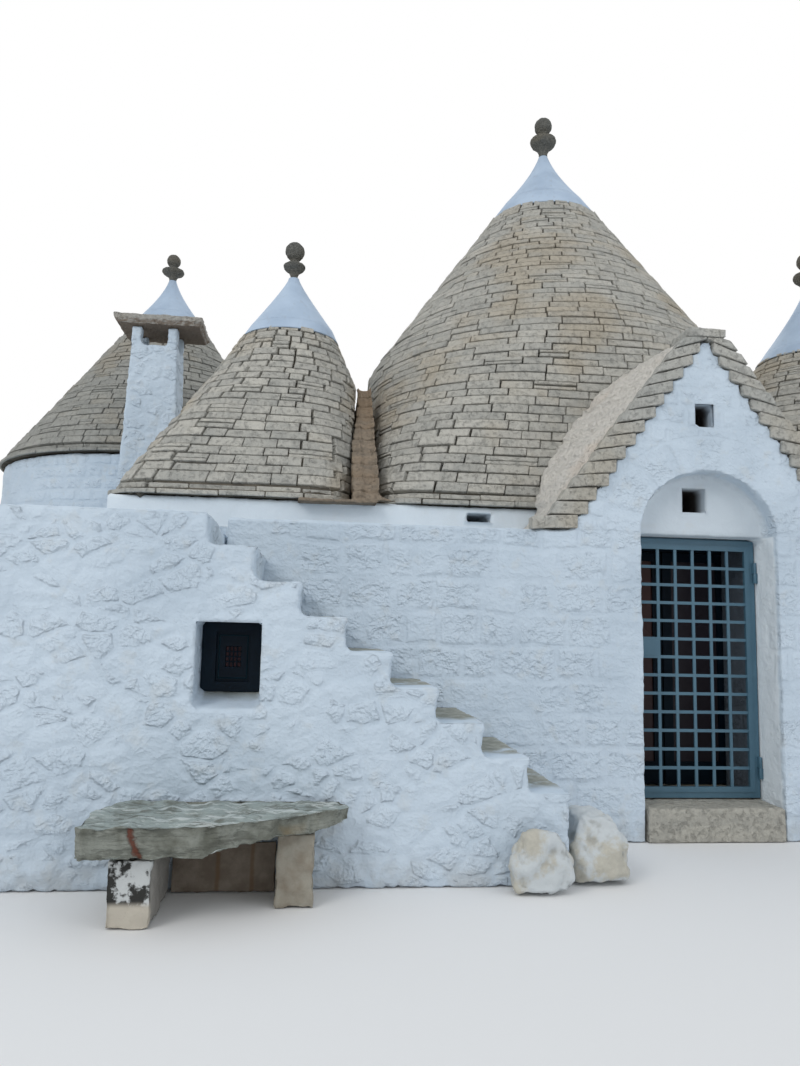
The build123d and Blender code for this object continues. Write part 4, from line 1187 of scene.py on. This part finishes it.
# %% Cones of the four roofs
# each section is a height, then the left, right, front and rear sides and the corner radius
MAIN_SECTIONS = (
    (EAVE_Z, -2.595, 1.625, 0.6, 6.2, 0.35),
    round_section(4.5, (-0.375, 3.4), 2.17),
    round_section(6.87, (-0.375, 3.4), 0.51),
)
SMALL_SECTIONS = (
    (EAVE_Z, -4.865, -2.785, 0.6, 3.6, 0.35),
    round_section(4.0, (-3.47, 2.1), 0.74),
    round_section(4.57, (-3.42, 2.1), 0.43),
)
END_SECTIONS = (
    (EAVE_Z, 1.7, 4.75, 1.2, 5.5, 0.35),
    round_section(4.0, (3.155, 3.4), 1.35),
    round_section(5.2, (3.155, 3.4), 0.54),
)
BACK_SECTIONS = (
    round_section(3.7, (-5.5, 6.5), 2.25),
    round_section(6.32, (-5.5, 6.5), 0.42),
)
# name, sections, mean slab length, height under plaster and stone of each roof
ROOFS = (
    ("main", MAIN_SECTIONS, 0.34, 0.27, cone_stone),
    ("small", SMALL_SECTIONS, 0.30, 0.13, cone_stone),
    ("end", END_SECTIONS, 0.32, 0.16, cone_stone),
    ("back", BACK_SECTIONS, 0.32, 0.30, shaded_stone),
)
GABLE_SLOPE, GABLE_TOP, RIDGE_HALF = 1.3245, 3.95, 0.192
GABLE_REACH, GABLE_COVER = 1.6, 0.16
CORE_SHRINK, CORE_DROP, CORE_FOOT, CORE_FACES = 0.982, 0.09, 0.01, 5000
random_stones = np.random.default_rng(11)


def hidden_by_gable(patch):
    """True for a slab of the main cone that would lie inside the gable's roof."""
    x, y, z = np.mean([*patch[0], *patch[1]], axis=0)
    roof = GABLE_TOP - (abs(x) - RIDGE_HALF) * GABLE_SLOPE
    return y < GABLE_REACH and z < roof - GABLE_COVER


def roof_core(name, node):
    """The dark body behind the slabs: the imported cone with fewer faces, drawn in a little."""
    core = copy_of(name, node)
    fewer = core.modifiers.new("fewer faces", "DECIMATE")
    fewer.ratio = CORE_FACES / triangles(core)
    settle(core)
    low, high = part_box(node)
    points = points_of(core).astype(float)
    middle = np.array(((low.x + high.x) / 2, (low.y + high.y) / 2))
    points[:, :2] = middle + (points[:, :2] - middle) * CORE_SHRINK
    points[:, 2] -= np.where(points[:, 2] > low.z + CORE_FOOT, CORE_DROP, 0.0)
    write_points(core, points)
    paint(core, gap_shadow)
    return core


for roof, sections, mean_length, plastered, stone in ROOFS:
    patches = lay_courses(sections, mean_length, sections[-1][0] - plastered, random_stones)
    if roof == "main":
        patches = [patch for patch in patches if not hidden_by_gable(patch)]
    slabs = patches_piece(f"{roof}_cone_slabs", patches)
    stones.run(slabs, stone, edges=STONE_EDGE, depth=STONE_DEPTH, seed=len(patches))
    place(slabs, "dry_limestone")
    place(roof_core(f"{roof}_cone_core", f"roof_{roof}"), "dry_limestone", f"roof_{roof}")

# %% [markdown]
# ## Worn surfaces
# The gutter, the bench, the threshold and the boulders are all worn, each in its own way.
# One general tree serves them all: broad dents, small pits, split layers and level grooves,
# each with its own depth as a named input, where 0 leaves it out.

# %% Worn surfaces
def worn_tree():
    """Tree that wears a netted solid: broad dents, small pits and split layers."""
    t = Tree("worn surface", dent_depth=0.02, dent_size=0.25, pit_depth=0.006, pit_size=0.05,
             layer_depth=0.0, layer_height=0.05, groove_depth=0.0, groove_step=0.2, seed=5)
    shift = t.node("CombineXYZ", {}, {0: t.size("seed"), 1: t.size("seed") * 1.7}).outputs[0]
    moved = t.moved(t.place, shift)
    dents = t.noise(1.0 / t.size("dent_size"), detail=2, at=moved).ramp(0.32, 0.68)
    pits = t.noise(1.0 / t.size("pit_size"), detail=3, at=moved).ramp(0.40, 0.70)
    z = t.xyz(t.place)[2]
    level = z / t.size("layer_height") + t.noise(1.6, detail=3, at=moved) * 2.5
    layer = level.op("FLOOR")
    ledge = Sum(t, t.node("TexWhiteNoise", {"noise_dimensions": "1D"}, {"W": layer}).outputs[0])
    strip = (z / t.size("groove_step")).op("FRACT")
    groove = strip.op("MINIMUM", 1.0 - strip).ramp(0.10, 0.0)
    depth = (dents * t.size("dent_depth") + pits * t.size("pit_depth")
             + ledge * t.size("layer_depth") + groove * t.size("groove_depth"))
    t.store("hollow", dents * 0.6 + pits * 0.4)
    t.store("shade", ledge * 0.6 + dents * 0.4)
    t.move(depth * -1.0)
    t.end(smooth=True)
    return t


worn = worn_tree()


def worn_piece(name, voxel, material, slot, nodes, body="house", rounding=0, **sizes):
    """A netted, worn copy in place of some CAD nodes."""
    piece = netted(name, voxel, *nodes)
    if rounding:
        smooth = piece.modifiers.new("rounding", "SMOOTH")
        smooth.iterations = rounding
        settle(piece)
    worn.run(piece, material, **sizes)
    place(piece, slot, *nodes, body=body)


print("tree:", worn.tree.name)

# %% [markdown]
# ## Verge and mortar of the gable
# The gable's edge is a stair of split slabs, fifteen to a side, and a single long slab lies
# on the ridge. Each slab's front is a flat patch between the bed joints of the packed
# solids, with its tip cut to the roof's slope, and the same tree as on the cones turns it
# into a stone. The sloping sides behind are smeared with rough mortar, which also
# spreads over the first slabs of the cone. So a skirt of mortar is drawn from each edge of
# the gable to the cone behind it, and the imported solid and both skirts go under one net.

# %% Verge slabs, ridge slab and mortar
GABLE_HALF = 1.4
VERGE_SLABS, VERGE_WIDTH, VERGE_TILT, VERGE_TIP = 15, 0.255, 0.36, 0.09
VERGE_BACK, VERGE_FRONT, VERGE_GAP, VERGE_DROP = 0.10, -0.03, 0.006, 0.015
VERGE_SPREAD, VERGE_TIP_SPREAD, VERGE_SLANT = 0.035, (-0.008, 0.012), 0.35
verge_course = (GABLE_TOP - WALL_TOP) / VERGE_SLABS


def bed_height(index, x):
    """Height of a bed joint of the verge at x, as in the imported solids."""
    outer = GABLE_HALF - index * verge_course / GABLE_SLOPE
    return WALL_TOP + index * verge_course + (outer - x) * VERGE_TILT * index / VERGE_SLABS


def verge_patches(rng):
    """Flat patches for the fronts of the verge slabs, tips cut to the roof's slope."""
    patches = []
    for index in range(VERGE_SLABS):
        outer = GABLE_HALF - (index + 0.5) * verge_course / GABLE_SLOPE
        slant = VERGE_SLANT * verge_course / GABLE_SLOPE if index else 0.0
        drop = 0.0 if index else VERGE_DROP
        for side in (-1, 1):
            inner = max(outer - VERGE_WIDTH - rng.uniform(0.0, VERGE_SPREAD), 0.0) + VERGE_GAP / 2
            tip = outer + (0.0 if index else VERGE_TIP) + rng.uniform(*VERGE_TIP_SPREAD)
            ends = ((inner, inner), ((inner + tip) / 2,) * 2, (tip + slant, tip - slant))
            lower = [(x, bed_height(index, x) + VERGE_GAP / 2) for x, _ in ends]
            upper = [(x, min(bed_height(index + 1, x) - VERGE_GAP, GABLE_TOP)) for _, x in ends]
            patches.append(tuple(
                [(side * x, VERGE_BACK, z - drop * (x > outer)) for x, z in line][::side]
                for line in (lower, upper)
            ))
    return patches


MORTAR_FRONT, MORTAR_BEHIND, MORTAR_SPREAD, MORTAR_RANGE = 0.085, 0.31, 0.25, (0.82, 1.10)
MORTAR_STATIONS, MORTAR_POINTS, MORTAR_THICK, MORTAR_SINK = 44, 7, 0.06, 0.015
SWELL_FROM, SWELL_TURN, SWELL_POWER = 0.12, 0.97, 0.6


def front_of_cone(sections, x, z):
    """How far back a squared cone's front lies at x and z."""
    left, right, front, rear, corner = section_at(sections, z)
    beyond = max(left + corner - x, x - (right - corner), 0.0)
    return front + corner - math.sqrt(max(corner**2 - min(beyond, corner) ** 2, 0.0))


def skirt_rings(side, rng):
    """Slices of the mortar smeared from one edge of the gable over the stones of the cone."""
    rings = []
    rise = GABLE_TOP - WALL_TOP
    for share in np.linspace((EAVE_Z + 0.01 - WALL_TOP) / rise, 1.0, MORTAR_STATIONS):
        x = GABLE_HALF + share * (RIDGE_HALF - GABLE_HALF)
        z = WALL_TOP + share * rise
        swelling = math.sin(math.pi * (SWELL_TURN * share - SWELL_FROM)) ** SWELL_POWER
        far = x + MORTAR_SPREAD * swelling * rng.uniform(*MORTAR_RANGE)
        back = front_of_cone(MAIN_SECTIONS, side * far, z) - MORTAR_SINK
        near, away = np.array((side * x, MORTAR_THICK, z)), np.array((side * far, back, z))
        steps = np.linspace(0.0, 1.0, MORTAR_POINTS)
        top = [near + (away - near) * step for step in steps]
        under = np.array((-side * MORTAR_THICK, 0.05, -MORTAR_THICK))
        rings.append([tuple(p) for p in (*top, *(p + under for p in top[::-1]))])
    return rings


def mortar_slopes(name, rng):
    """The mortared sides of the gable's roof, with the smears that join them to the cone."""
    slopes = copy_of(name, "gable_roof")
    points = points_of(slopes)
    points[points[:, 1] < MORTAR_BEHIND, 1] = MORTAR_FRONT
    write_points(slopes, points)
    shape = bmesh.new()
    shape.from_mesh(slopes.data)
    for side in (-1, 1):
        skin(shape, skirt_rings(side, rng))
    bmesh.ops.recalc_face_normals(shape, faces=shape.faces)
    shape.to_mesh(slopes.data)
    shape.free()
    return slopes


verge_stone = slab_stone("verge_stone", (0.54, 0.53, 0.49), (0.41, 0.415, 0.39),
                         (0.48, 0.43, 0.34), grain=1.4, lichen=0.8)
mortar = slab_stone("gable_mortar", (0.81, 0.77, 0.70), (0.71, 0.68, 0.63),
                    (0.76, 0.65, 0.55), grain=2.0, lichen=0.20)
verge = patches_piece("verge_slabs_split", verge_patches(random_stones))
stones.run(verge, verge_stone, edges=STONE_EDGE, depth=VERGE_BACK - VERGE_FRONT,
           unevenness=0.022, wobble=0.014, wobble_size=17.0, seed=40)
place(verge, "verge_limestone", "verge_slabs")
worn_piece("ridge_slab_worn", 0.012, verge_stone, "verge_limestone", ["ridge_slab"],
           dent_depth=0.008, pit_depth=0.004)
slopes = net_over(mortar_slopes("gable_mortar_slopes", random_stones), 0.022)
worn.run(slopes, mortar, dent_depth=0.018, dent_size=0.16, pit_depth=0.010, pit_size=0.045)
place(slopes, "warm_mortar", "gable_roof")

# %% [markdown]
# ## Valley gutter
# Rain from two cones runs down a gutter of long stones between them, and a thin slab at its
# foot throws the water clear of the wall. Its right lip is narrow where it meets the main
# cone, so that lip is drawn in, and the left one is lowered towards the small cone. The
# joints between its stones are level grooves, so the worn tree's groove does them.

# %% Gutter
gutter_stone = slab_stone("gutter_stone", (0.34, 0.27, 0.20), (0.22, 0.185, 0.145),
                          (0.30, 0.21, 0.13), grain=1.6)
GUTTER_LEFT, GUTTER_RIGHT, GUTTER_LIP_SHARE, GUTTER_DEPTH = -2.72, -2.60, 0.15, 0.035
channel = copy_of("gutter_worn", "gutter")
bends = points_of(channel)
lip = (bends[:, 2] > EAVE_Z) & (bends[:, 0] > GUTTER_RIGHT)
bends[lip, 0] = GUTTER_RIGHT + (bends[lip, 0] - GUTTER_RIGHT) * GUTTER_LIP_SHARE
bends[(bends[:, 2] > EAVE_Z + 0.1) & (bends[:, 0] < GUTTER_LEFT), 2] -= GUTTER_DEPTH
write_points(channel, bends)
worn.run(net_over(channel, 0.016), gutter_stone, dent_depth=0.010, pit_depth=0.004,
         groove_depth=0.022, groove_step=0.15)
place(channel, "warm_mortar", "gutter")

# %% [markdown]
# ## Caps and finials
# The cones end in smooth plaster caps with a stone bowl and ball on top. The plaster is
# brushed down over the top courses, so a thin collar carries each packed cap on down to
# where the slabs begin. It is trowelled and faintly blotched, with grey runs of rain. The
# finials are turned: rings of points follow the profile of the bowl and the ball, and the
# net and the worn tree then take the machine look off the coarse grey stone.

# %% Caps and finials
def cap_plaster():
    """Bluish trowelled plaster with runs of rain."""
    r = Recipe("cap_plaster", Specular_IOR_Level=0.3)
    clouds = r.noise(2.2, detail=5, roughness=0.55)
    grit = r.noise(60.0, detail=3)
    colour = r.blend(clouds.ramp(0.35, 0.70), (0.445, 0.55, 0.68), (0.355, 0.45, 0.575))
    runs = r.noise(3.0, detail=4, at=r.scaled(r.place, (6.0, 6.0, 0.5)))
    colour = r.blend(runs.ramp(0.55, 0.75) * 0.35, colour, (0.33, 0.37, 0.42))
    roughness, height = 0.55 + clouds * 0.2, clouds + grit * 0.1
    return r.finish(colour, roughness=roughness, height=height, depth=0.006)


finial_stone = slab_stone("finial_stone", (0.20, 0.198, 0.178), (0.125, 0.127, 0.118),
                          (0.19, 0.165, 0.12), grain=3.0)
cap_white = cap_plaster()
paint(NODES["roof_caps"], cap_white)
COLLAR_THICKNESS, COLLAR_RINGS, COLLAR_EDGE = 0.08, 5, 0.02
FLAT_TOP = 0.9


def collar_rings(sections, plastered):
    """Rings of points down the outside of a plaster collar and back up its inside."""
    crown = sections[-1][0]
    foot = crown - plastered
    outside = [(z, 0.0) for z in (foot, *np.linspace(foot + COLLAR_EDGE, crown, COLLAR_RINGS))]
    rings = []
    for z, inset in (*outside, (crown, COLLAR_THICKNESS), (foot, COLLAR_THICKNESS)):
        left, right, front, rear, _ = section_at(sections, z)
        centre = ((left + right) / 2, (front + rear) / 2)
        rings.append(circle(centre, (right - left) / 2 - inset, z))
    return rings


collars = bmesh.new()
for _, sections, _, plastered, _ in ROOFS:
    skin(collars, collar_rings(sections, plastered), closed=True)
collar = solid_piece("cap_collars", collars)
for polygon in collar.data.polygons:
    polygon.use_smooth = abs(polygon.normal.z) < FLAT_TOP
paint(collar, cap_white)
place(collar, "cap_plaster")

# centre, height of the neck, radius of the bowl, height and radius of the ball
FINIALS = (
    ((-0.375, 3.4), 7.58, 0.170, 8.000, 0.115),
    ((-3.42, 2.1), 5.15, 0.120, 5.450, 0.104),
    ((-5.5, 6.5), 6.94, 0.178, 7.270, 0.110),
    ((3.155, 3.4), 6.01, 0.165, 6.440, 0.116),
)
# each point of the bowl is a share of its radius and a share of its height
BOWL = ((0.34, 0.0), (0.34, 0.18), (0.50, 0.34), (0.88, 0.52), (1.0, 0.66), (0.96, 0.78),
        (0.66, 0.88), (0.36, 0.94), (0.36, 1.08))
BALL_ANGLES = np.radians(np.linspace(-84, 84, 15))
FINIAL_SIDES = 32
finial_shape = bmesh.new()
for centre, neck, bowl_radius, ball_z, ball_radius in FINIALS:
    tall = ball_z - ball_radius - neck
    bowl = [(bowl_radius * wide, neck + tall * high) for wide, high in BOWL]
    ball = [(ball_radius * math.cos(a), ball_z + ball_radius * math.sin(a)) for a in BALL_ANGLES]
    for profile in (bowl, ball):
        skin(finial_shape, [circle(centre, radius, z, FINIAL_SIDES) for radius, z in profile])
finials = net_over(solid_piece("finials_worn", finial_shape), 0.015)
worn.run(finials, finial_stone, dent_depth=0.004, dent_size=0.08, pit_depth=0.005, pit_size=0.025)
place(finials, "finial_stone", "finials")
print("caps and finials dressed")

# %% [markdown]
# ## Chimney
# The shaft is limewashed rubble like the walls and gets the same tree with shallower
# joints. The slab on its posts is thick and rough, and its underside is darker and browner:
# painted shade.

# %% Chimney
shaft = netted("chimney_shaft_washed", 0.025, "chimney_shaft")
for label in ("skin", "squared", "bare", "plain"):
    write_number(shaft, label, np.full(len(shaft.data.vertices), float(label == "skin")))
masonry.run(shaft, limewash_coat, joint_depth=0.006, lump_depth=0.012)
place(shaft, "whitewashed_rubble", "chimney_shaft")
# The chimney slab's underside carries painted shade.
underside_shade_stone = slab_stone("underside_shade_stone", (0.47, 0.45, 0.41), (0.37, 0.36, 0.335),
                          (0.42, 0.36, 0.28), grain=1.4, under=(0.26, 0.205, 0.16))
worn_piece("chimney_slab_worn", 0.016, underside_shade_stone, "verge_limestone", ["chimney_slab"],
           dent_depth=0.012, dent_size=0.20, pit_depth=0.005, layer_depth=0.006)

# %% [markdown]
# ## Stair foot, threshold and floor
# Two boulders guard the foot of the stair. They are worn round and only partly washed, so
# cream stone shows through: the net is first smoothed many times and then dented. The
# threshold is worn by feet. The rooms have flagstones, whose joints are the edges of
# stretched Voronoi cells.

# %% Boulders
def half_washed(name, stone, wash_share):
    """Stone that shows where the wash has worn off."""
    r = Recipe(name, Specular_IOR_Level=0.25)
    patches = r.noise(3.2, detail=5, roughness=0.6)
    grit = r.noise(30.0, detail=4, roughness=0.65)
    pale = r.blend(grit.ramp(0.35, 0.70), stone, (0.52, 0.50, 0.43))
    colour = r.blend(patches.ramp(0.5 - wash_share, 0.6 - wash_share), pale, (0.55, 0.585, 0.60))
    colour = r.blend(r.stored("hollow").ramp(0.55, 0.95) * 0.5, colour, (0.22, 0.21, 0.18))
    return r.finish(colour, roughness=0.8, height=patches + grit * 0.5, depth=0.014)


worn_piece("stair_foot_boulders", 0.018, half_washed("boulder_stone", (0.47, 0.45, 0.39), 0.12),
           "whitewashed_rubble", ["stair_boulders"], rounding=60, dent_depth=0.040,
           dent_size=0.22, pit_depth=0.016, pit_size=0.07)
threshold_stone = slab_stone("threshold_stone", (0.50, 0.48, 0.42), (0.37, 0.36, 0.325),
                             (0.43, 0.37, 0.28), grain=1.2, lichen=0.35)
worn_piece("threshold_worn", 0.016, threshold_stone, "worn_limestone", ["threshold"],
           dent_depth=0.006, pit_depth=0.003)


def flagstones():
    """Large paving stones, each with its own shade, and dark joints between them."""
    r = Recipe("flagstones", Specular_IOR_Level=0.35)
    flat = r.scaled(r.place, (1.0, 1.6, 0.0))
    cells = r.cells(2.2, "DISTANCE_TO_EDGE", at=flat)
    shade = r.xyz(r.cells(2.2, "F1", at=flat, output="Color").socket)[0]
    mottle = r.noise(8.0, detail=5)
    colour = r.blend(shade, (0.36, 0.33, 0.27), (0.46, 0.41, 0.33))
    colour = r.blend(mottle.ramp(0.5, 0.8) * 0.5, colour, (0.28, 0.26, 0.22))
    colour = r.blend(cells.ramp(0.04, 0.01), colour, (0.14, 0.12, 0.10))
    height = cells.ramp(0.01, 0.06) * 2.0 + mottle
    return r.finish(colour, roughness=0.55 + mottle * 0.2, height=height, depth=0.005)


paint(NODES["floor"], flagstones())
print("floor dressed")

# %% [markdown]
# ## Bench
# The bench is one split slab on two blocks. Cleft stone breaks along its layers, so the
# worn tree's layers make the ledges on its edge, on a fine net. A rust seam runs down the
# left third of its front, and its top is greener from damp, with whitish streaks along it.
# The left leg still wears flaking white wash over nearly black stone, and the right one is
# a plain tan block. The recess behind them is bare brown stone with rusty joints.

# %% Bench
RUST_SEAM_X, RUST_SEAM_Z = -3.96, 0.44
BETWEEN_LEGS, LEG_FACE, LEG_FOOT = (-3.70, -3.72), (-1.54, -1.58), (0.14, 0.10)
RECESS_JOINTS = ((-3.60, 0.020), (-3.40, 0.018))


def cleft_stone():
    """Dark layered stone, green and streaked on top, with one rusty seam in front."""
    r = Recipe("cleft_stone", Specular_IOR_Level=0.3)
    layers = r.noise(3.0, detail=6, roughness=0.6, at=r.scaled(r.place, (1.0, 1.0, 9.0)))
    mottle = r.noise(6.0, detail=6, roughness=0.62)
    grit = r.noise(45.0, detail=3, roughness=0.7)
    colour = r.blend(mottle.ramp(0.32, 0.68), (0.13, 0.135, 0.11), (0.29, 0.305, 0.27))
    colour = r.blend(layers.ramp(0.55, 0.72) * 0.55, colour, (0.075, 0.072, 0.060))
    top = r.facing_up().ramp(0.5, 0.95)
    face = 1.0 - top
    colour = r.blend(top * mottle.ramp(0.26, 0.56) * 0.85, colour, (0.33, 0.385, 0.375))
    x, _, z = r.xyz(r.place)
    streaks = r.noise(2.2, detail=7, roughness=0.68, at=r.scaled(r.place, (1.2, 7.0, 7.0)))
    colour = r.blend(top * streaks.ramp(0.53, 0.575) * 0.75, colour, (0.60, 0.64, 0.63))
    colour = r.blend(streaks.ramp(0.47, 0.40) * 0.55, colour, (0.085, 0.09, 0.075))
    from_seam = x - RUST_SEAM_X + (z - RUST_SEAM_Z) * 0.35 + (mottle - 0.5) * 0.16
    seam = from_seam.op("ABSOLUTE").ramp(0.026, 0.006) * face
    colour = r.blend(seam * 0.9, colour, (0.125, 0.034, 0.018))
    ochre = r.noise(2.4, detail=3).ramp(0.60, 0.72) * face
    colour = r.blend(ochre * 0.7, colour, (0.25, 0.185, 0.10))
    height = layers * 1.5 + mottle + streaks * 0.9 + grit * 0.3 - seam * 0.5
    return r.finish(colour, roughness=0.72 + grit * 0.2, height=height, depth=0.022)


worn_piece("bench_slab_cleft", 0.013, cleft_stone(), "bench_stone", ["bench_slab"],
           dent_depth=0.024, dent_size=0.17, pit_depth=0.006, pit_size=0.05,
           layer_depth=0.014, layer_height=0.050)


def bench_blocks():
    """Two legs: flaking wash over dark stone on the left, plain tan stone on the right."""
    r = Recipe("bench_block_stone", Specular_IOR_Level=0.25)
    patches = r.noise(7.0, detail=5, roughness=0.6)
    grit = r.noise(35.0, detail=4, roughness=0.7)
    x, y, z = r.xyz(r.place)
    left = x.ramp(*BETWEEN_LEGS)
    tan = r.blend(patches.ramp(0.35, 0.7), (0.33, 0.31, 0.26), (0.235, 0.20, 0.155))
    black = r.blend(patches.ramp(0.43, 0.49), (0.55, 0.57, 0.57), (0.035, 0.035, 0.033))
    black = r.blend(z.ramp(*LEG_FOOT), black, (0.50, 0.46, 0.39))
    black = r.blend(y.ramp(*LEG_FACE), (0.30, 0.29, 0.27), black)
    colour = r.blend(left, tan, black)
    colour = r.blend(grit.ramp(0.62, 0.8) * 0.4, colour, (0.12, 0.11, 0.10))
    return r.finish(colour, roughness=0.85, height=patches + grit * 0.6, depth=0.010)


worn_piece("bench_legs_worn", 0.013, bench_blocks(), "bench_block", ["bench_legs"],
           dent_depth=0.014, dent_size=0.12, pit_depth=0.006)


def recess_blocks():
    """Bare brown stone with two rusty upright joints."""
    r = Recipe("recess_blocks", Specular_IOR_Level=0.25)
    patches = r.noise(9.0, detail=5, roughness=0.6)
    colour = r.blend(patches.ramp(0.35, 0.7), (0.17, 0.135, 0.105), (0.25, 0.21, 0.17))
    shaken = r.xyz(r.place)[0] + (patches - 0.5) * 0.02
    first, second = (
        (shaken - middle).op("ABSOLUTE").ramp(half, 0.005) for middle, half in RECESS_JOINTS
    )
    colour = r.blend(first.op("MAXIMUM", second) * 0.6, colour, (0.16, 0.095, 0.045))
    return r.finish(colour, roughness=0.85, height=patches, depth=0.010)


worn_piece("bench_recess_worn", 0.012, recess_blocks(), "bench_block", ["bench_back"],
           dent_depth=0.010, pit_depth=0.005)

# %% [markdown]
# ## Gate
# A smith's gate: flat bars in a welded frame, painted blue-grey. Real steel edges are
# never razor sharp, so a small bevel on a welded copy lets them catch the light. The paint
# is satin, faintly cloudy and chipped to rust in tiny spots.

# %% Steel and its paint
def painted_steel():
    """Satin blue-grey paint with tiny chips of rust."""
    r = Recipe("blue_grey_paint", Metallic=0.0, Specular_IOR_Level=0.5)
    clouds = r.noise(3.0, detail=4)
    grit = r.noise(130.0, detail=2)
    chips = r.noise(48.0, detail=4, roughness=0.6)
    colour = r.blend(clouds.ramp(0.3, 0.7), (0.054, 0.126, 0.180), (0.070, 0.152, 0.210))
    colour = r.blend(chips.ramp(0.72, 0.76), colour, (0.09, 0.045, 0.025))
    return r.finish(colour, roughness=0.36 + clouds * 0.18, height=grit, depth=0.0006)


steel_paint = painted_steel()


def bevelled(name, width, material, slot, *nodes, body="house"):
    """A welded copy whose edges are rounded a little."""
    piece = copy_of(name, *nodes)
    ease(piece, width)
    settle(piece)
    paint(piece, material)
    place(piece, slot, *nodes, body=body)


bevelled("gate_grille", 0.0018, steel_paint, "painted_steel", "gate_leaf", body="gate")
bevelled("gate_lock_plate", 0.002, steel_paint, "painted_steel", "gate_lock", body="gate")
bevelled("gate_stop_frame", 0.002, steel_paint, "painted_steel", "gate_frame")

# %% [markdown]
# ## Window and glazed doors
# Behind the gate stands a pair of dark glazed doors, and the small window in the flank
# wall has the same dark blue paint. The dark room behind the panes is painted into them as
# brown shade, since the daylight is weak. A thin raised bead in a paler paint runs round the
# window's panel, and a thin sheet in dark red stands behind its small lattice.

# %% Joinery and panes
def dark_paint(name, low, high):
    """Nearly black brushed paint on wood."""
    r = Recipe(name, Specular_IOR_Level=0.12)
    clouds = r.noise(5.0, detail=4)
    grain = r.noise(4.0, detail=5, at=r.scaled(r.place, (9.0, 9.0, 0.8)))
    colour = r.blend(clouds.ramp(0.3, 0.7), low, high)
    return r.finish(colour, roughness=0.38 + clouds * 0.2, height=grain, depth=0.0015)


def brown_pane(name, colour_low, colour_high):
    """Glass with the dark room behind painted in as shade: one colour at foot, another at head.
    """
    r = Recipe(name, Specular_IOR_Level=0.22)
    clouds = r.noise(1.4, detail=2)
    height = r.xyz(r.place)[2].ramp(0.5, 2.2)
    colour = r.blend((height + (clouds - 0.5) * 0.6).ramp(0.0, 1.0), colour_low, colour_high)
    return r.finish(colour, roughness=0.22 + clouds * 0.12)


joinery_paint = dark_paint("dark_blue_paint", (0.002, 0.0075, 0.015), (0.005, 0.014, 0.024))
bead_paint = dark_paint("bead_paint", (0.010, 0.030, 0.042), (0.016, 0.040, 0.052))
for node_name, owner in (
    ("door_frame", "house"),
    ("door_leaf_left", "door_left"),
    ("door_leaf_right", "door_right"),
    ("window_frame", "house"),
    ("window_panel", "house"),
):
    bevelled(f"{node_name}_eased", 0.003, joinery_paint, "dark_joinery", node_name, body=owner)
# The panes carry painted shade: the dark room behind them.
left_pane = brown_pane("pane_left", (0.046, 0.026, 0.028), (0.074, 0.030, 0.029))
right_pane = brown_pane("pane_right", (0.032, 0.027, 0.033), (0.034, 0.029, 0.038))
paint(NODES["door_glass_left"], left_pane)
paint(NODES["door_glass_right"], right_pane)

BEAD_INSET_X, BEAD_INSET_Z, BEAD_SINK = 0.012, 0.016, 0.0005
BEAD_WIDTH, BEAD_PROUD = 0.010, 0.006


def bead_round(name, low, high, y, width, proud):
    """A thin raised frame on an upright face that looks to the street."""
    shape = bmesh.new()
    (x0, z0), (x1, z1) = low, high
    rings = []
    for step, out in ((0.0, 0.0), (width / 2, proud), (width, 0.0)):
        corners = ((x0 + step, z0 + step), (x1 - step, z0 + step),
                   (x1 - step, z1 - step), (x0 + step, z1 - step))
        rings.append([(x, y - out, z) for x, z in corners])
    skin(shape, rings, closed=True)
    return solid_piece(name, shape)


panel_low, panel_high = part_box("window_panel")
bead_low = (panel_low.x + BEAD_INSET_X, panel_low.z + BEAD_INSET_Z)
bead_high = (panel_high.x - BEAD_INSET_X, panel_high.z - BEAD_INSET_Z)
bead = bead_round("window_bead", bead_low, bead_high, panel_low.y + BEAD_SINK, BEAD_WIDTH,
                  BEAD_PROUD)
paint(bead, bead_paint)
place(bead, "dark_joinery")

BACKING_BEHIND, BACKING_THICK = 0.014, 0.004
BACKING_HALF_WIDTH, BACKING_HALF_HEIGHT = 0.047, 0.063


def red_lattice():
    """Dark red paint behind the lattice."""
    r = Recipe("red_lattice", Specular_IOR_Level=0.3)
    clouds = r.noise(60.0, detail=3)
    colour = r.blend(clouds.ramp(0.35, 0.65), (0.022, 0.006, 0.010), (0.052, 0.015, 0.020))
    return r.finish(colour, roughness=0.6, height=clouds, depth=0.002)


middle = (panel_low + panel_high) / 2
backing_y = panel_low.y + BACKING_BEHIND
backing_lines = tuple(
    [(middle.x + side * BACKING_HALF_WIDTH, backing_y, middle.z + height) for side in (-1, 1)]
    for height in (-BACKING_HALF_HEIGHT, BACKING_HALF_HEIGHT)
)
backing = patches_piece("window_lattice_backing", [backing_lines])
thick = backing.modifiers.new("thickness", "SOLIDIFY")
thick.thickness = BACKING_THICK
settle(backing)
paint(backing, red_lattice())
place(backing, "dark_joinery")
